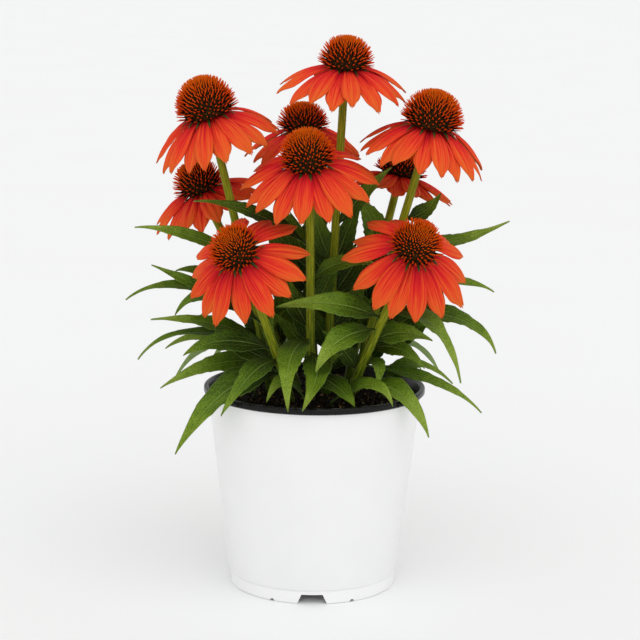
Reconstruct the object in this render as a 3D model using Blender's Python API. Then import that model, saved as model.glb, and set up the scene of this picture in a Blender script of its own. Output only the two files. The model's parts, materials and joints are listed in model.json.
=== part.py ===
"""Potted coneflower plant: nine blooms, their leafy stems, basal leaves, soil and pot.

Lengths below are millimetres, and mesh_object() turns them into metres. +Z is up, the pot
stands on Z = 0 round the origin, and -Y is the side that faces the viewer.
"""
import math
import random
from collections import namedtuple

import bmesh
import bpy
from mathutils import Vector

METRES = 0.001
GAP = 0.3                       # clearance between pieces that touch on the real plant

# Pot: a straight tapered wall with a rolled lip, on a narrower foot ring.
POT_HEIGHT = 151.0
LIP_RADIUS = 82.5
LIP_UNDERSIDE = 146.4
POT_WALL = 1.5
WALL_TOP_RADIUS = 79.6
LEDGE_RADIUS = 63.4
LEDGE_HEIGHT = 11.3
FOOT_RADIUS = 61.9
FOOT_RING_WIDTH = 3.1
FLOOR_UNDERSIDE = 8.0
FLOOR_TOP = 9.8
POT_SIDES = 36
FOOT_NOTCH = (15.6, 23.0, 7.2)  # width at its top, width at the rest plane, height
FOOT_SCALLOP_RADIUS = 2.0
SCALLOP_OFFSET = 28.3           # degrees from the middle of each notch
NOTCH_ANGLES = (-90, 30, 150)
DRAIN_RADIUS = 5.0
DRAIN_CIRCLE = 44.0

# Potting mix
SOIL_TOP = 143.0
SOIL_RELIEF = 1.1
SOIL_RINGS = (38.0, 77.0)
ROOTING_DEPTH = 14.0

# Stems and basal crowns
STEM_RADIUS_FOOT = 3.3
STEM_RADIUS_HEAD = 2.8
STEM_SIDES = 6
STEM_STEPS = 6
FOOT_RISE = 0.07                # share of a stem that rises upright from the soil
HEAD_REACH = 0.14               # share of it that lines up with the head
CROWN_RADIUS = 4.5
CROWN_HEIGHT = 6.0
BRACT_TIP_RADIUS = 11.5
BRACT_COUNT = 8

# Petals
PETAL_ROOT_RADIUS = 6.5
PETAL_WIDTH = 15.0
PETAL_RIDGE = 0.7               # how far the middle lies above the petal's own surface
PETAL_ARCH = 1.3                # how far the edges lie below it, at full width
PETAL_LAYERS = (1.0, -1.0)      # even and odd petals lie this far off their common cone
PETAL_DISC_RADIUS = 9.0
PETAL_DISC_HEIGHTS = (0.3, 2.7)
# Along a petal, as fractions of its length and of half its width.
PETAL_OUTLINE = ((0.0, 0.24), (0.3, 0.70), (0.6, 1.0), (0.86, 0.78), (1.0, 0.28))

# Seed cones
SPIKES_ROUND = 13
SPIKE_ROWS = 8
SPIKE_SIDE = 6.0
SPIKE_TOP = 2.2
CONE_BASE = 3.0
CONE_TUCK = math.radians(97)   # polar angle where the dome meets its base

# Leaves: along a blade, as fractions of its length and of half its width.
LEAF_OUTLINE = ((0.00, 0.10), (0.08, 0.12), (0.21, 0.70), (0.34, 1.00), (0.375, 0.87),
                (0.50, 0.90), (0.54, 0.72), (0.69, 0.50), (0.73, 0.36))
BLADE_START = 0.21              # share of a leaf that is its stalk
LEAF_KEEL = 1.0                 # how far the midrib lies below the blade's middle
PETIOLE_KEEL = 1.5
LEAF_FOLD = 0.12                # rise of the edges over half the width

# Each bloom: number, centre of its petal disc, lean in degrees to the right and towards
# the viewer, width and height of the seed cone with its spikes, place of its stem in the
# soil, petal length, droop at the root and tip of a petal, and the angles of its petals
# round the head, where 270 points to the viewer.
Bloom = namedtuple("Bloom", "number head lean cone foot petal droop angles")
BLOOMS = (
    Bloom(1, (20.1, 4, 384.6), (3, 9), (41, 26), (9, 5), 49, (2, 52),
          (192, 217, 238, 261, 278, 302, 324, 349, 15, 41, 66, 91, 116, 142, 167)),
    Bloom(2, (-78.6, 0, 349.6), (-16, 11), (46, 32), (-33, 8), 51, (7, 60),
          (182, 205, 224, 242, 258, 279, 302, 321, 345, 8, 33, 63, 93, 123, 152)),
    Bloom(3, (81.5, -13, 344.0), (12, 8), (46, 30), (30, 6), 50, (8, 62),
          (158, 182, 207, 225, 243, 264, 287, 306, 324, 348, 14, 43, 72, 101, 130)),
    Bloom(4, (-10.7, 59, 333.8), (-3, 6), (40, 24), (0, 28), 44, (4, 54),
          (172, 202, 228, 254, 282, 310, 337, 11, 38, 65, 92, 119, 146)),
    Bloom(5, (-6.0, -36, 319.0), (-5, 26), (42, 29), (-3, -12), 49, (4, 52),
          (173, 196, 218, 238, 263, 285, 305, 331, 354, 17, 43, 73, 97, 121, 147)),
    Bloom(6, (-86.2, 40, 289.8), (-22, 12), (40, 26), (-14, 22), 42, (2, 48),
          (197, 219, 243, 263, 281, 306, 328, 352, 17, 45, 71, 96, 121, 147, 172)),
    Bloom(7, (62.0, 40, 301.5), (12, -4), (40, 21), (25, 25), 41, (2, 36),
          (248, 268, 287, 309, 331, 355, 20, 48, 77, 105, 134, 162, 190, 219)),
    Bloom(8, (-54.5, -62, 257.8), (-18, 46), (40, 24), (-18, -25), 48, (8, 56),
          (142, 168, 195, 216, 235, 259, 285, 309, 332, 2, 35, 63, 90, 117)),
    Bloom(9, (69.8, -60, 262.4), (11, 46), (40, 24), (26, -22), 50, (12, 58),
          (134, 158, 182, 213, 240, 261, 283, 307, 331, 358, 28, 50, 71, 105)),
)

# Basal crowns: number and place in the soil.
CROWNS = {
    1: (-44, -10),
    2: (-6, -34),
    3: (12, -38),
    4: (50, -10),
    5: (26, 44),
    6: (-28, 40),
}

# Leaves on the stems: stem number, height where it grows out, a point halfway along, the
# tip, width, and the way its upper face leans in degrees, to the right and to the viewer.
STEM_LEAVES = (
    # left side, from the top down
    (2, 244, (-95, -8, 264), (-133, -8, 269), 12, (0, 45)),
    (5, 258, (-46, -10, 281), (-89, -17, 290), 14, (0, 40)),
    (2, 205, (-86, 2, 224), (-122, 6, 239), 14, (0, 40)),
    (6, 215, (-84, 42, 228), (-107, 46, 228), 12, (0, 40)),
    (6, 195, (-98, 26, 220), (-142, 14, 211), 13, (0, 30)),
    (8, 200, (-76, -24, 222), (-103, -15, 205), 16, (0, 45)),
    (2, 184, (-80, 6, 196), (-123, 10, 197), 16, (0, 30)),
    (6, 170, (-92, 14, 187), (-132, 2, 168), 12, (0, 20)),
    (6, 176, (-78, 34, 182), (-114, 34, 170), 14, (0, 40)),
    (8, 183, (-66, -28, 189), (-96, -30, 178), 20, (0, 45)),
    (2, 165, (-74, -6, 167), (-114, -15, 150), 17, (0, 45)),
    # over the front of the rim
    (8, 164, (-63, -54, 158), (-99, -70, 114), 28, (0, 25)),
    (8, 176, (-44, -58, 172), (-66, -76, 144), 21, (-10, 35)),
    (5, 188, (-17, -62, 184), (-18, -103, 154), 21, (0, 15)),
    (5, 178, (2, -60, 173), (-8, -101, 154), 21, (0, 15)),
    (9, 200, (18, -60, 197), (1, -66, 174), 22, (0, 45)),
    (5, 164, (17, -50, 160), (29, -69, 150), 19, (0, 25)),
    (9, 156, (61, -46, 156), (83, -56, 125), 24, (10, 25)),
    # right side, from the bottom up
    (3, 165, (87, -14, 158), (124, -15, 134), 11, (0, 35)),
    (9, 172, (46, -38, 174), (44, -48, 158), 13, (20, 45)),
    (3, 178, (62, -10, 181), (81, -15, 167), 16, (0, 45)),
    (9, 190, (62, -30, 197), (86, -25, 190), 19, (0, 50)),
    (9, 212, (84, -45, 207), (106, -45, 163), 21, (30, 30)),
    (3, 206, (104, -12, 205), (133, -20, 180), 19, (20, 35)),
    (7, 220, (98, 18, 228), (134, 20, 219), 12, (0, 40)),
    (3, 256, (104, 10, 259), (144, 18, 273), 15, (0, 35)),
    (3, 276, (80, -8, 284), (91, -8, 297), 13, (0, 60)),
    # among the stems
    (9, 208, (14, -48, 221), (-28, -48, 218), 20, (0, 50)),
    (5, 232, (20, -16, 246), (48, -14, 243), 14, (0, 45)),
    (1, 268, (34, 0, 294), (55, -5, 315), 14, (0, 60)),
    (7, 246, (42, 16, 272), (28, 12, 292), 20, (0, 70)),
    (1, 240, (2, 6, 266), (-4, 0, 292), 16, (0, 75)),
    (5, 238, (-14, -4, 262), (-26, 0, 286), 15, (0, 75)),
    (4, 230, (-30, 22, 262), (-48, 20, 280), 20, (0, 60)),
    (1, 205, (30, 16, 226), (52, 20, 238), 15, (0, 60)),
    (4, 190, (-24, 46, 218), (-44, 52, 240), 16, (0, 60)),
    (7, 188, (36, 44, 214), (50, 62, 236), 16, (0, 50)),
    # behind
    (4, 215, (24, 66, 236), (52, 88, 224), 16, (0, -40)),
    (4, 195, (-28, 68, 218), (-54, 89, 206), 17, (0, -40)),
    (4, 172, (2, 66, 196), (8, 90, 176), 17, (0, -40)),
    (6, 185, (-62, 58, 202), (-94, 82, 182), 16, (0, -40)),
    (7, 178, (68, 40, 192), (102, 50, 174), 16, (0, -30)),
)

# Leaves on the basal crowns: the same, with the crown's number and no height.
CROWN_LEAVES = (
    (1, (-56, 4, 164), (-76, 14, 160), 15, (0, 40)),
    (2, (-22, -50, 164), (-34, -66, 152), 15, (0, 30)),
    (3, (40, -58, 164), (56, -74, 152), 16, (0, 30)),
    (4, (72, 6, 166), (104, 12, 150), 16, (0, 30)),
    (5, (54, 68, 176), (84, 88, 144), 18, (0, -30)),
    (5, (24, 70, 174), (34, 90, 142), 19, (0, -20)),
    (5, (66, 56, 172), (98, 74, 144), 17, (0, -30)),
    (6, (-54, 68, 176), (-84, 88, 144), 18, (0, -30)),
    (6, (-22, 72, 172), (-30, 91, 140), 19, (0, -20)),
    (6, (-74, 48, 170), (-110, 60, 138), 17, (0, -30)),
)


def material(name, colour, roughness):
    """A plain finish with the part's own colour, as linear RGB."""
    finish = bpy.data.materials.new(name)
    finish.use_nodes = True
    shader = finish.node_tree.nodes["Principled BSDF"]
    shader.inputs["Base Color"].default_value = (*colour, 1.0)
    shader.inputs["Roughness"].default_value = roughness
    shader.inputs["Metallic"].default_value = 0.0
    finish.diffuse_color = (*colour, 1.0)
    return finish


def mesh_object(name, points, faces, finish=None):
    """A closed mesh from points in millimetres, with its faces turned outwards."""
    mesh = bpy.data.meshes.new(name)
    mesh.from_pydata([Vector(point) * METRES for point in points], [], faces)
    shape = bmesh.new()
    shape.from_mesh(mesh)
    bmesh.ops.recalc_face_normals(shape, faces=shape.faces)
    shape.to_mesh(mesh)
    shape.free()
    if finish:
        mesh.materials.append(finish)
    obj = bpy.data.objects.new(name, mesh)
    bpy.context.scene.collection.objects.link(obj)
    return obj


def combine(target, others, operation, solver="EXACT"):
    """Join or cut target with the other objects in one Boolean, and remove them."""
    group = bpy.data.collections.new("boolean_operands")
    bpy.context.scene.collection.children.link(group)
    for other in others:
        bpy.context.scene.collection.objects.unlink(other)
        group.objects.link(other)
    boolean = target.modifiers.new("combine", "BOOLEAN")
    boolean.operation = operation
    boolean.solver = solver
    boolean.operand_type = "COLLECTION"
    boolean.collection = group
    graph = bpy.context.evaluated_depsgraph_get()
    result = bpy.data.meshes.new_from_object(target.evaluated_get(graph))
    target.modifiers.clear()
    target.data = result
    for other in others:
        bpy.data.objects.remove(other)
    bpy.data.collections.remove(group)
    return target


def smooth(obj, angle=40):
    """Shade the object smooth, with a crease where its faces meet at more than angle."""
    obj.data.shade_smooth()
    obj.data.set_sharp_from_angle(angle=math.radians(angle))


def skin(rings, name, finish=None):
    """A solid through rings of equal size, where a one-point ring closes to a tip.

    Each strip of faces is split from an even point to the odd point of the next ring, so a
    thin blade of four-point rings is split alike on both of its faces.
    """
    points = [point for ring in rings for point in ring]
    faces = []
    start = 0
    for ring, following in zip(rings, rings[1:]):
        count = len(ring)
        after = start + count
        for i in range(count):
            j = (i + 1) % count
            if len(following) == 1:
                faces.append((start + i, start + j, after))
            elif i % 2 == 0:
                faces.append((start + i, start + j, after + j))
                faces.append((start + i, after + j, after + i))
            else:
                faces.append((start + i, start + j, after + i))
                faces.append((start + j, after + j, after + i))
        start = after
    faces.append(tuple(range(len(rings[0])))[::-1])
    if len(rings[-1]) > 1:
        faces.append(tuple(range(start, start + len(rings[-1]))))
    return mesh_object(name, points, faces, finish)


def bezier(controls, t):
    """The point at t on the Bezier curve with these control points."""
    while len(controls) > 1:
        controls = [a.lerp(b, t) for a, b in zip(controls, controls[1:])]
    return controls[0]


def circle(centre, across, along, radius, sides, turn=0.0):
    """Points of a regular polygon round centre, in the plane of two unit vectors."""
    ring = []
    for i in range(sides):
        angle = turn + 2 * math.pi * i / sides
        ring.append(centre + across * radius * math.cos(angle)
                    + along * radius * math.sin(angle))
    return ring


def turned(profile, sides, name, finish=None):
    """A closed solid turned round Z from (radius, height) points, on the axis where 0."""
    shape = bmesh.new()
    outline = [shape.verts.new(Vector((r, 0, z)) * METRES) for r, z in profile]
    edges = [shape.edges.new(pair) for pair in zip(outline, outline[1:] + outline[:1])]
    bmesh.ops.spin(shape, geom=outline + edges, cent=(0, 0, 0), axis=(0, 0, 1),
                   angle=2 * math.pi, steps=sides, use_merge=True)
    bmesh.ops.remove_doubles(shape, verts=shape.verts, dist=0.01 * METRES)
    bmesh.ops.recalc_face_normals(shape, faces=shape.faces)
    mesh = bpy.data.meshes.new(name)
    shape.to_mesh(mesh)
    shape.free()
    if finish:
        mesh.materials.append(finish)
    obj = bpy.data.objects.new(name, mesh)
    bpy.context.scene.collection.objects.link(obj)
    return obj


def polar(angle, radius, height):
    """A point at an angle in degrees round Z."""
    return Vector((radius * math.cos(math.radians(angle)),
                   radius * math.sin(math.radians(angle)), height))


def post(x, y, bottom, top, radius, sides, name="cutter"):
    """An upright prism with a regular outline."""
    across, along = Vector((1, 0, 0)), Vector((0, 1, 0))
    rings = [circle(Vector((x, y, z)), across, along, radius, sides) for z in (bottom, top)]
    return skin(rings, name)


def foot_notch(angle):
    """Cutter for one wide notch under the foot ring."""
    top_width, bottom_width, height = FOOT_NOTCH
    radial = polar(angle, 1, 0)
    side = polar(angle + 90, 1, 0)
    rings = []
    for radius in (FOOT_RADIUS - 2 * FOOT_RING_WIDTH, FOOT_RADIUS + FOOT_RING_WIDTH):
        ring = []
        for width, z in ((-bottom_width, -1), (bottom_width, -1),
                         (top_width, height), (-top_width, height)):
            ring.append(radial * radius + side * width / 2 + Vector((0, 0, z)))
        rings.append(ring)
    return skin(rings, "cutter")


def foot_scallop(angle):
    """Cutter for one small round scallop under the foot ring."""
    radial = polar(angle, 1, 0)
    side = polar(angle + 90, 1, 0)
    rings = []
    for radius in (FOOT_RADIUS - 2 * FOOT_RING_WIDTH, FOOT_RADIUS + FOOT_RING_WIDTH):
        rings.append(circle(radial * radius, side, Vector((0, 0, 1)),
                            FOOT_SCALLOP_RADIUS, 6))
    return skin(rings, "cutter")


def make_pot(finish):
    """The pot: one moulding with a rolled lip, a floor with drain holes and a foot ring."""
    inner_foot = LEDGE_RADIUS - POT_WALL
    profile = (
        (0, FLOOR_UNDERSIDE), (FOOT_RADIUS - FOOT_RING_WIDTH, FLOOR_UNDERSIDE),
        (FOOT_RADIUS - FOOT_RING_WIDTH, 0), (FOOT_RADIUS - 1.2, 0), (FOOT_RADIUS, 1.2),
        (FOOT_RADIUS, LEDGE_HEIGHT - 0.9), (LEDGE_RADIUS, LEDGE_HEIGHT),
        (WALL_TOP_RADIUS, LIP_UNDERSIDE), (LIP_RADIUS, LIP_UNDERSIDE + 0.4),
        (LIP_RADIUS, POT_HEIGHT - 1.0),
        (LIP_RADIUS - 1.0, POT_HEIGHT), (WALL_TOP_RADIUS, POT_HEIGHT),
        (WALL_TOP_RADIUS - POT_WALL, POT_HEIGHT - 1.3),
        (inner_foot, LEDGE_HEIGHT + 2.2), (inner_foot - 1.5, FLOOR_TOP), (0, FLOOR_TOP),
    )
    pot = turned(profile, POT_SIDES, "pot", finish)
    cutters = [foot_notch(angle) for angle in NOTCH_ANGLES]
    for angle in NOTCH_ANGLES:
        cutters.append(foot_scallop(angle - SCALLOP_OFFSET))
        cutters.append(foot_scallop(angle + SCALLOP_OFFSET))
        hole = polar(angle, DRAIN_CIRCLE, 0)
        cutters.append(post(hole.x, hole.y, FLOOR_UNDERSIDE - 2, FLOOR_TOP + 2,
                            DRAIN_RADIUS, 6))
    cutters.append(post(0, 0, FLOOR_UNDERSIDE - 2, FLOOR_TOP + 2, DRAIN_RADIUS, 6))
    combine(pot, cutters, "DIFFERENCE")
    smooth(pot, 30)


def make_potting_mix(finish):
    """The root ball: it fills the pot and has a crumbly top with a hole for each stem."""
    draw = random.Random(143)
    rings = [[Vector((0, 0, SOIL_TOP))]]
    for radius in SOIL_RINGS:
        ring = []
        for i in range(POT_SIDES):
            height = SOIL_TOP + SOIL_RELIEF * draw.uniform(-1, 1)
            ring.append(polar(360 * i / POT_SIDES, radius, height))
        rings.append(ring)
    inner_foot = LEDGE_RADIUS - POT_WALL
    wall = ((inner_foot - 0.5, LEDGE_HEIGHT + 2.5), (inner_foot - 2.0, FLOOR_TOP + GAP))
    for radius, height in wall:
        rings.append([polar(360 * i / POT_SIDES, radius, height)
                      for i in range(POT_SIDES)])
    soil = skin(rings[::-1], "potting_mix", finish)
    holes = []
    clearance = GAP / math.cos(math.pi / STEM_SIDES)
    for bloom in BLOOMS:
        x, y = bloom.foot
        holes.append(post(x, y, SOIL_TOP - ROOTING_DEPTH - GAP, SOIL_TOP + 5,
                          STEM_RADIUS_FOOT + clearance, STEM_SIDES))
    for x, y in CROWNS.values():
        holes.append(post(x, y, SOIL_TOP - ROOTING_DEPTH - GAP, SOIL_TOP + 5,
                          CROWN_RADIUS + clearance, STEM_SIDES))
    combine(soil, holes, "DIFFERENCE", "MANIFOLD")


def leaning(lean):
    """The upward direction, leant by degrees to the right and towards the viewer."""
    right, forward = (math.radians(angle) for angle in lean)
    return Vector((math.sin(right), -math.sin(forward) * math.cos(right),
                   math.cos(forward) * math.cos(right)))


def head_axis(bloom):
    """The direction that a bloom faces."""
    return leaning(bloom.lean)


def head_rotation(bloom):
    """The rotation that turns +Z to the bloom's own axis."""
    return Vector((0, 0, 1)).rotation_difference(head_axis(bloom))


def place_on_head(obj, bloom):
    """Set a piece that is modelled round the origin onto its stem."""
    obj.location = Vector(bloom.head) * METRES
    obj.rotation_mode = "QUATERNION"
    obj.rotation_quaternion = head_rotation(bloom)


def stem_controls(bloom):
    """Control points of the stem's curve, from just above the soil to the head."""
    x, y = bloom.foot
    foot = Vector((x, y, SOIL_TOP + 2))
    head = Vector(bloom.head)
    reach = (head - foot).length
    return [foot, foot + Vector((0, 0, FOOT_RISE * reach)),
            head - head_axis(bloom) * HEAD_REACH * reach, head]


def stem_point(bloom, height):
    """The point on the stem's centre line at a height."""
    controls = stem_controls(bloom)
    low, high = 0.0, 1.0
    for _ in range(24):
        middle = (low + high) / 2
        if bezier(controls, middle).z < height:
            low = middle
        else:
            high = middle
    return bezier(controls, low)


def stem_solid(bloom, finish):
    """The round stem, upright where it stands in the soil."""
    controls = stem_controls(bloom)
    across, along = Vector((1, 0, 0)), Vector((0, 1, 0))
    x, y = bloom.foot
    rings = [circle(Vector((x, y, SOIL_TOP - ROOTING_DEPTH)), across, along,
                    STEM_RADIUS_FOOT, STEM_SIDES)]
    for step in range(STEM_STEPS + 1):
        t = step / STEM_STEPS
        centre = bezier(controls, t)
        ahead = bezier(controls, min(1.0, t + 0.01)) - bezier(controls, max(0.0, t - 0.01))
        turn = Vector((0, 0, 1)).rotation_difference(ahead.normalized())
        radius = STEM_RADIUS_FOOT + (STEM_RADIUS_HEAD - STEM_RADIUS_FOOT) * t
        if step == STEM_STEPS:
            centre = centre - head_axis(bloom)
        rings.append(circle(centre, turn @ across, turn @ along, radius, STEM_SIDES))
    return skin(rings, f"flower_stem_{bloom.number}", finish)


def bract_collar(bloom):
    """The star of green bracts under the petals, as one low double cone."""
    turn = head_rotation(bloom)
    head = Vector(bloom.head)
    points = [head, head + turn @ Vector((0, 0, -7))]
    count = 2 * BRACT_COUNT
    for i in range(count):
        tip = i % 2 == 0
        radius = BRACT_TIP_RADIUS if tip else 6.5
        height = -4.2 if tip else -1.8
        points.append(head + turn @ polar(360 * i / count, radius, height))
    faces = []
    for i in range(count):
        j = (i + 1) % count
        faces.append((0, 2 + i, 2 + j))
        faces.append((1, 2 + j, 2 + i))
    return mesh_object("bracts", points, faces)


def leaf_solid(base, through, tip, width, face):
    """One leaf on an arching centre line, folded along its midrib, with toothed edges."""
    base, through, tip = Vector(base), Vector(through), Vector(tip)
    controls = [base, 2 * through - (base + tip) / 2, tip]
    rings = []
    for t, share in LEAF_OUTLINE:
        centre = bezier(controls, t)
        ahead = (bezier(controls, t + 0.02) - bezier(controls, t - 0.02)).normalized()
        side = leaning(face).cross(ahead).normalized()
        up = ahead.cross(side)
        half = share * width / 2
        blade = min(1.0, t / BLADE_START)
        keel = PETIOLE_KEEL + (LEAF_KEEL - PETIOLE_KEEL) * blade
        edge = centre + up * (PETIOLE_KEEL - keel + LEAF_FOLD * half)
        rings.append([edge + side * half, centre - up * keel, edge - side * half])
    rings.append([tip])
    return skin(rings, "leaf")


def make_stem(bloom, finish):
    """One flower stem with its bracts and the leaves that grow on it."""
    stem = stem_solid(bloom, finish)
    grown = [bract_collar(bloom)]
    for number, height, through, tip, width, face in STEM_LEAVES:
        if number == bloom.number:
            grown.append(leaf_solid(stem_point(bloom, height), through, tip, width, face))
    combine(stem, grown, "UNION", "MANIFOLD")
    smooth(stem)


def make_crown(number, place, finish):
    """One basal crown: a short stub in the soil with the leaves that rise from it."""
    x, y = place
    stub = post(x, y, SOIL_TOP - ROOTING_DEPTH, SOIL_TOP + CROWN_HEIGHT, CROWN_RADIUS,
                STEM_SIDES, f"leaf_tuft_{number}")
    stub.data.materials.append(finish)
    base = Vector((x, y, SOIL_TOP + CROWN_HEIGHT / 2))
    leaves = []
    for crown, through, tip, width, face in CROWN_LEAVES:
        if crown == number:
            leaves.append(leaf_solid(base, through, tip, width, face))
    combine(stub, leaves, "UNION", "MANIFOLD")
    smooth(stub)


def petal_line(length, droop, share):
    """Place and slope at a share of a petal's length, as its droop grows evenly."""
    root, end = (math.radians(angle) for angle in droop)
    slope = root + (end - root) * share
    run = length * share
    if abs(end - root) > 1e-6:
        radius = length * (math.sin(slope) - math.sin(root)) / (end - root)
        drop = length * (math.cos(root) - math.cos(slope)) / (end - root)
    else:
        radius = run * math.cos(root)
        drop = run * math.sin(root)
    return radius, -drop, slope


def petal_solid(angle, length, width, droop, layer):
    """One petal: ridged along its middle, drooping along its length, with a blunt tip."""
    outward = polar(angle, 1, 0)
    side = polar(angle + 90, 1, 0)
    middle = sum(PETAL_DISC_HEIGHTS) / 2
    rings = []
    for s, share in PETAL_OUTLINE:
        half = share * width / 2
        radius, drop, slope = petal_line(length, droop, s)
        up = outward * math.sin(slope) + Vector((0, 0, math.cos(slope)))
        lift = layer * (0.4 + 0.6 * min(1.0, s / 0.3))
        centre = outward * (PETAL_ROOT_RADIUS + radius) + Vector((0, 0, middle + drop))
        edge = centre + up * (lift - PETAL_ARCH * share ** 2)
        rings.append([edge + side * half, centre + up * (lift + PETAL_RIDGE),
                      edge - side * half])
    return skin(rings, "petal")


def make_petals(bloom, finish):
    """One whorl of petals in two layers, fused to the disc that they grow from."""
    draw = random.Random(100 + bloom.number)
    up, across, along = Vector((0, 0, 1)), Vector((1, 0, 0)), Vector((0, 1, 0))
    rings = [circle(up * height, across, along, PETAL_DISC_RADIUS, 8)
             for height in PETAL_DISC_HEIGHTS]
    disc = skin(rings, f"ray_petals_{bloom.number}", finish)
    petals = []
    for i, angle in enumerate(bloom.angles):
        length = bloom.petal * draw.uniform(0.94, 1.04)
        layer = PETAL_LAYERS[i % 2]
        nod = draw.uniform(-1.5, 1.5) - 2 * layer
        droop = (bloom.droop[0], bloom.droop[1] + nod)
        width = PETAL_WIDTH * draw.uniform(0.94, 1.04)
        petals.append(petal_solid(angle, length, width, droop, layer))
    combine(disc, petals, "UNION", "MANIFOLD")
    smooth(disc)
    place_on_head(disc, bloom)


def make_seed_cone(bloom, finish):
    """The domed cone: a lattice of diamonds over a core, each raised to a spike."""
    width, height = bloom.cone
    core_radius = width / 2 - SPIKE_SIDE * 0.94
    rise = (height - CONE_BASE - SPIKE_TOP) / (1 - math.cos(CONE_TUCK))
    centre = CONE_BASE - rise * math.cos(CONE_TUCK)
    step = math.pi / SPIKES_ROUND
    start = math.log(math.tan(CONE_TUCK / 2))
    polar_angles = [2 * math.atan(math.exp(start - step * k)) for k in range(SPIKE_ROWS + 2)]

    def surface(tilt, round_angle, raised=0.0):
        out = Vector((math.sin(tilt) * math.cos(round_angle),
                      math.sin(tilt) * math.sin(round_angle), 0))
        core = out * core_radius + Vector((0, 0, centre + rise * math.cos(tilt)))
        normal = out / core_radius + Vector((0, 0, math.cos(tilt) / rise))
        return core + normal.normalized() * raised

    points = []
    for k, tilt in enumerate(polar_angles):
        for j in range(SPIKES_ROUND):
            points.append(surface(tilt, (2 * j + k) * step))
    last = SPIKE_ROWS + 1
    faces = [tuple(range(SPIKES_ROUND))[::-1]]

    def lattice(k, j):
        return k * SPIKES_ROUND + j % SPIKES_ROUND

    for k in range(1, last):
        reach = SPIKE_SIDE if k < last / 2 else \
            SPIKE_SIDE + (SPIKE_TOP - SPIKE_SIDE) * (2 * k / last - 1)
        for j in range(SPIKES_ROUND):
            tip = len(points)
            points.append(surface(polar_angles[k], (2 * j + k + 1) * step, reach))
            ring = (lattice(k - 1, j + 1), lattice(k, j + 1), lattice(k + 1, j),
                    lattice(k, j))
            for a, b in zip(ring, ring[1:] + ring[:1]):
                faces.append((a, b, tip))
    for j in range(SPIKES_ROUND):
        faces.append((lattice(0, j), lattice(0, j + 1), lattice(1, j)))
    apex = len(points)
    points.append(surface(0.0, 0.0, SPIKE_TOP))
    for j in range(SPIKES_ROUND):
        faces.append((lattice(last, j), lattice(last, j + 1), apex))
        faces.append((lattice(last - 1, j + 1), lattice(last, j + 1), lattice(last, j)))
    cone = mesh_object(f"seed_cone_{bloom.number}", points, faces, finish)
    place_on_head(cone, bloom)


def main():
    """Clear the scene and model the plant."""
    for obj in list(bpy.data.objects):
        bpy.data.objects.remove(obj)
    make_pot(material("white_pot_plastic", (0.86, 0.86, 0.87), 0.35))
    make_potting_mix(material("dark_potting_mix", (0.02, 0.014, 0.01), 0.95))
    green = material("green_leaf", (0.07, 0.16, 0.025), 0.5)
    petal = material("orange_red_petal", (0.82, 0.07, 0.02), 0.45)
    cone = material("orange_brown_cone", (0.42, 0.07, 0.01), 0.6)
    for bloom in BLOOMS:
        make_stem(bloom, green)
        make_petals(bloom, petal)
        make_seed_cone(bloom, cone)
    for number, place in CROWNS.items():
        make_crown(number, place, green)


main()
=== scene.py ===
import json
import math
import random
from collections import namedtuple

import bpy
import numpy as np
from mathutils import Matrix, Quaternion, Vector

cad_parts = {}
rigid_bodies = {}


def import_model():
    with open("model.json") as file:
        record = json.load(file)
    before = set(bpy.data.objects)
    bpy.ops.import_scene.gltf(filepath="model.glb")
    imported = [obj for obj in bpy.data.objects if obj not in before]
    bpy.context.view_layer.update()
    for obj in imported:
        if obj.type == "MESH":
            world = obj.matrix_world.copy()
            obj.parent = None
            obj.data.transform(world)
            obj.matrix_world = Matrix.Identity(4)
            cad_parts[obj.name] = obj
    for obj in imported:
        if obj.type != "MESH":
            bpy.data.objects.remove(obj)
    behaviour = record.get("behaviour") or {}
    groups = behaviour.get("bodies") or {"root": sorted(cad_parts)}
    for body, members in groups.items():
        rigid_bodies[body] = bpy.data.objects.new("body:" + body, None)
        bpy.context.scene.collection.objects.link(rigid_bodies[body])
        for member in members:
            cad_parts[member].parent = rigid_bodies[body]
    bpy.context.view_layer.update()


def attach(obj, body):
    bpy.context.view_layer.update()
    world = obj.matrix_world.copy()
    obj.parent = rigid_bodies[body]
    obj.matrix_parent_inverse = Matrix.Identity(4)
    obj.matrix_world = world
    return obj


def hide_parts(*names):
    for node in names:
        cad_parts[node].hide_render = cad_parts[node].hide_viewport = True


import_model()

# Potted coneflower: what each solid of the frame looks like close to. Lengths are
# millimetres, and piece() turns them into metres. The rows of blooms, crowns and leaves
# repeat those that the solids were made from, but for the inner leaves.
METRES = 0.001

# Pot
POT_HEIGHT = 151.0
LIP_RADIUS = 82.5
LIP_UNDERSIDE = 146.4
WALL_TOP_RADIUS = 79.6
WALL_THICKNESS = 1.5
LEDGE_RADIUS = 63.4
LEDGE_HEIGHT = 11.3
FOOT_RADIUS = 61.9
FOOT_RING_WIDTH = 3.1
FLOOR_UNDERSIDE = 8.0
FLOOR_TOP = 9.8
POT_SIDES = 180
LIP_BEND = 1.3
FOOT_BEND = 1.2
NOTCH_ANGLES = (-90, 30, 150)
NOTCH = (15.6, 23.0, 7.2)       # width at its top, width at the rest plane, height
SCALLOP_OFFSET = 28.3           # degrees to each side of a notch
SCALLOP_RADIUS = 2.0
DRAIN_RADIUS = 5.0
DRAIN_CIRCLE = 44.0

# Potting mix
SOIL_TOP = 143.0
SOIL_RADIUS = 77.6
SOIL_RINGS = 56
SOIL_SIDES = 150
CLODS = ((9, 0.5), (4, 0.7), (2, 0.6))   # size, and how far they stand up and down
CRUMBS = 2600
CRUMB_SIZES = (0.45, 1.5)

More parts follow.
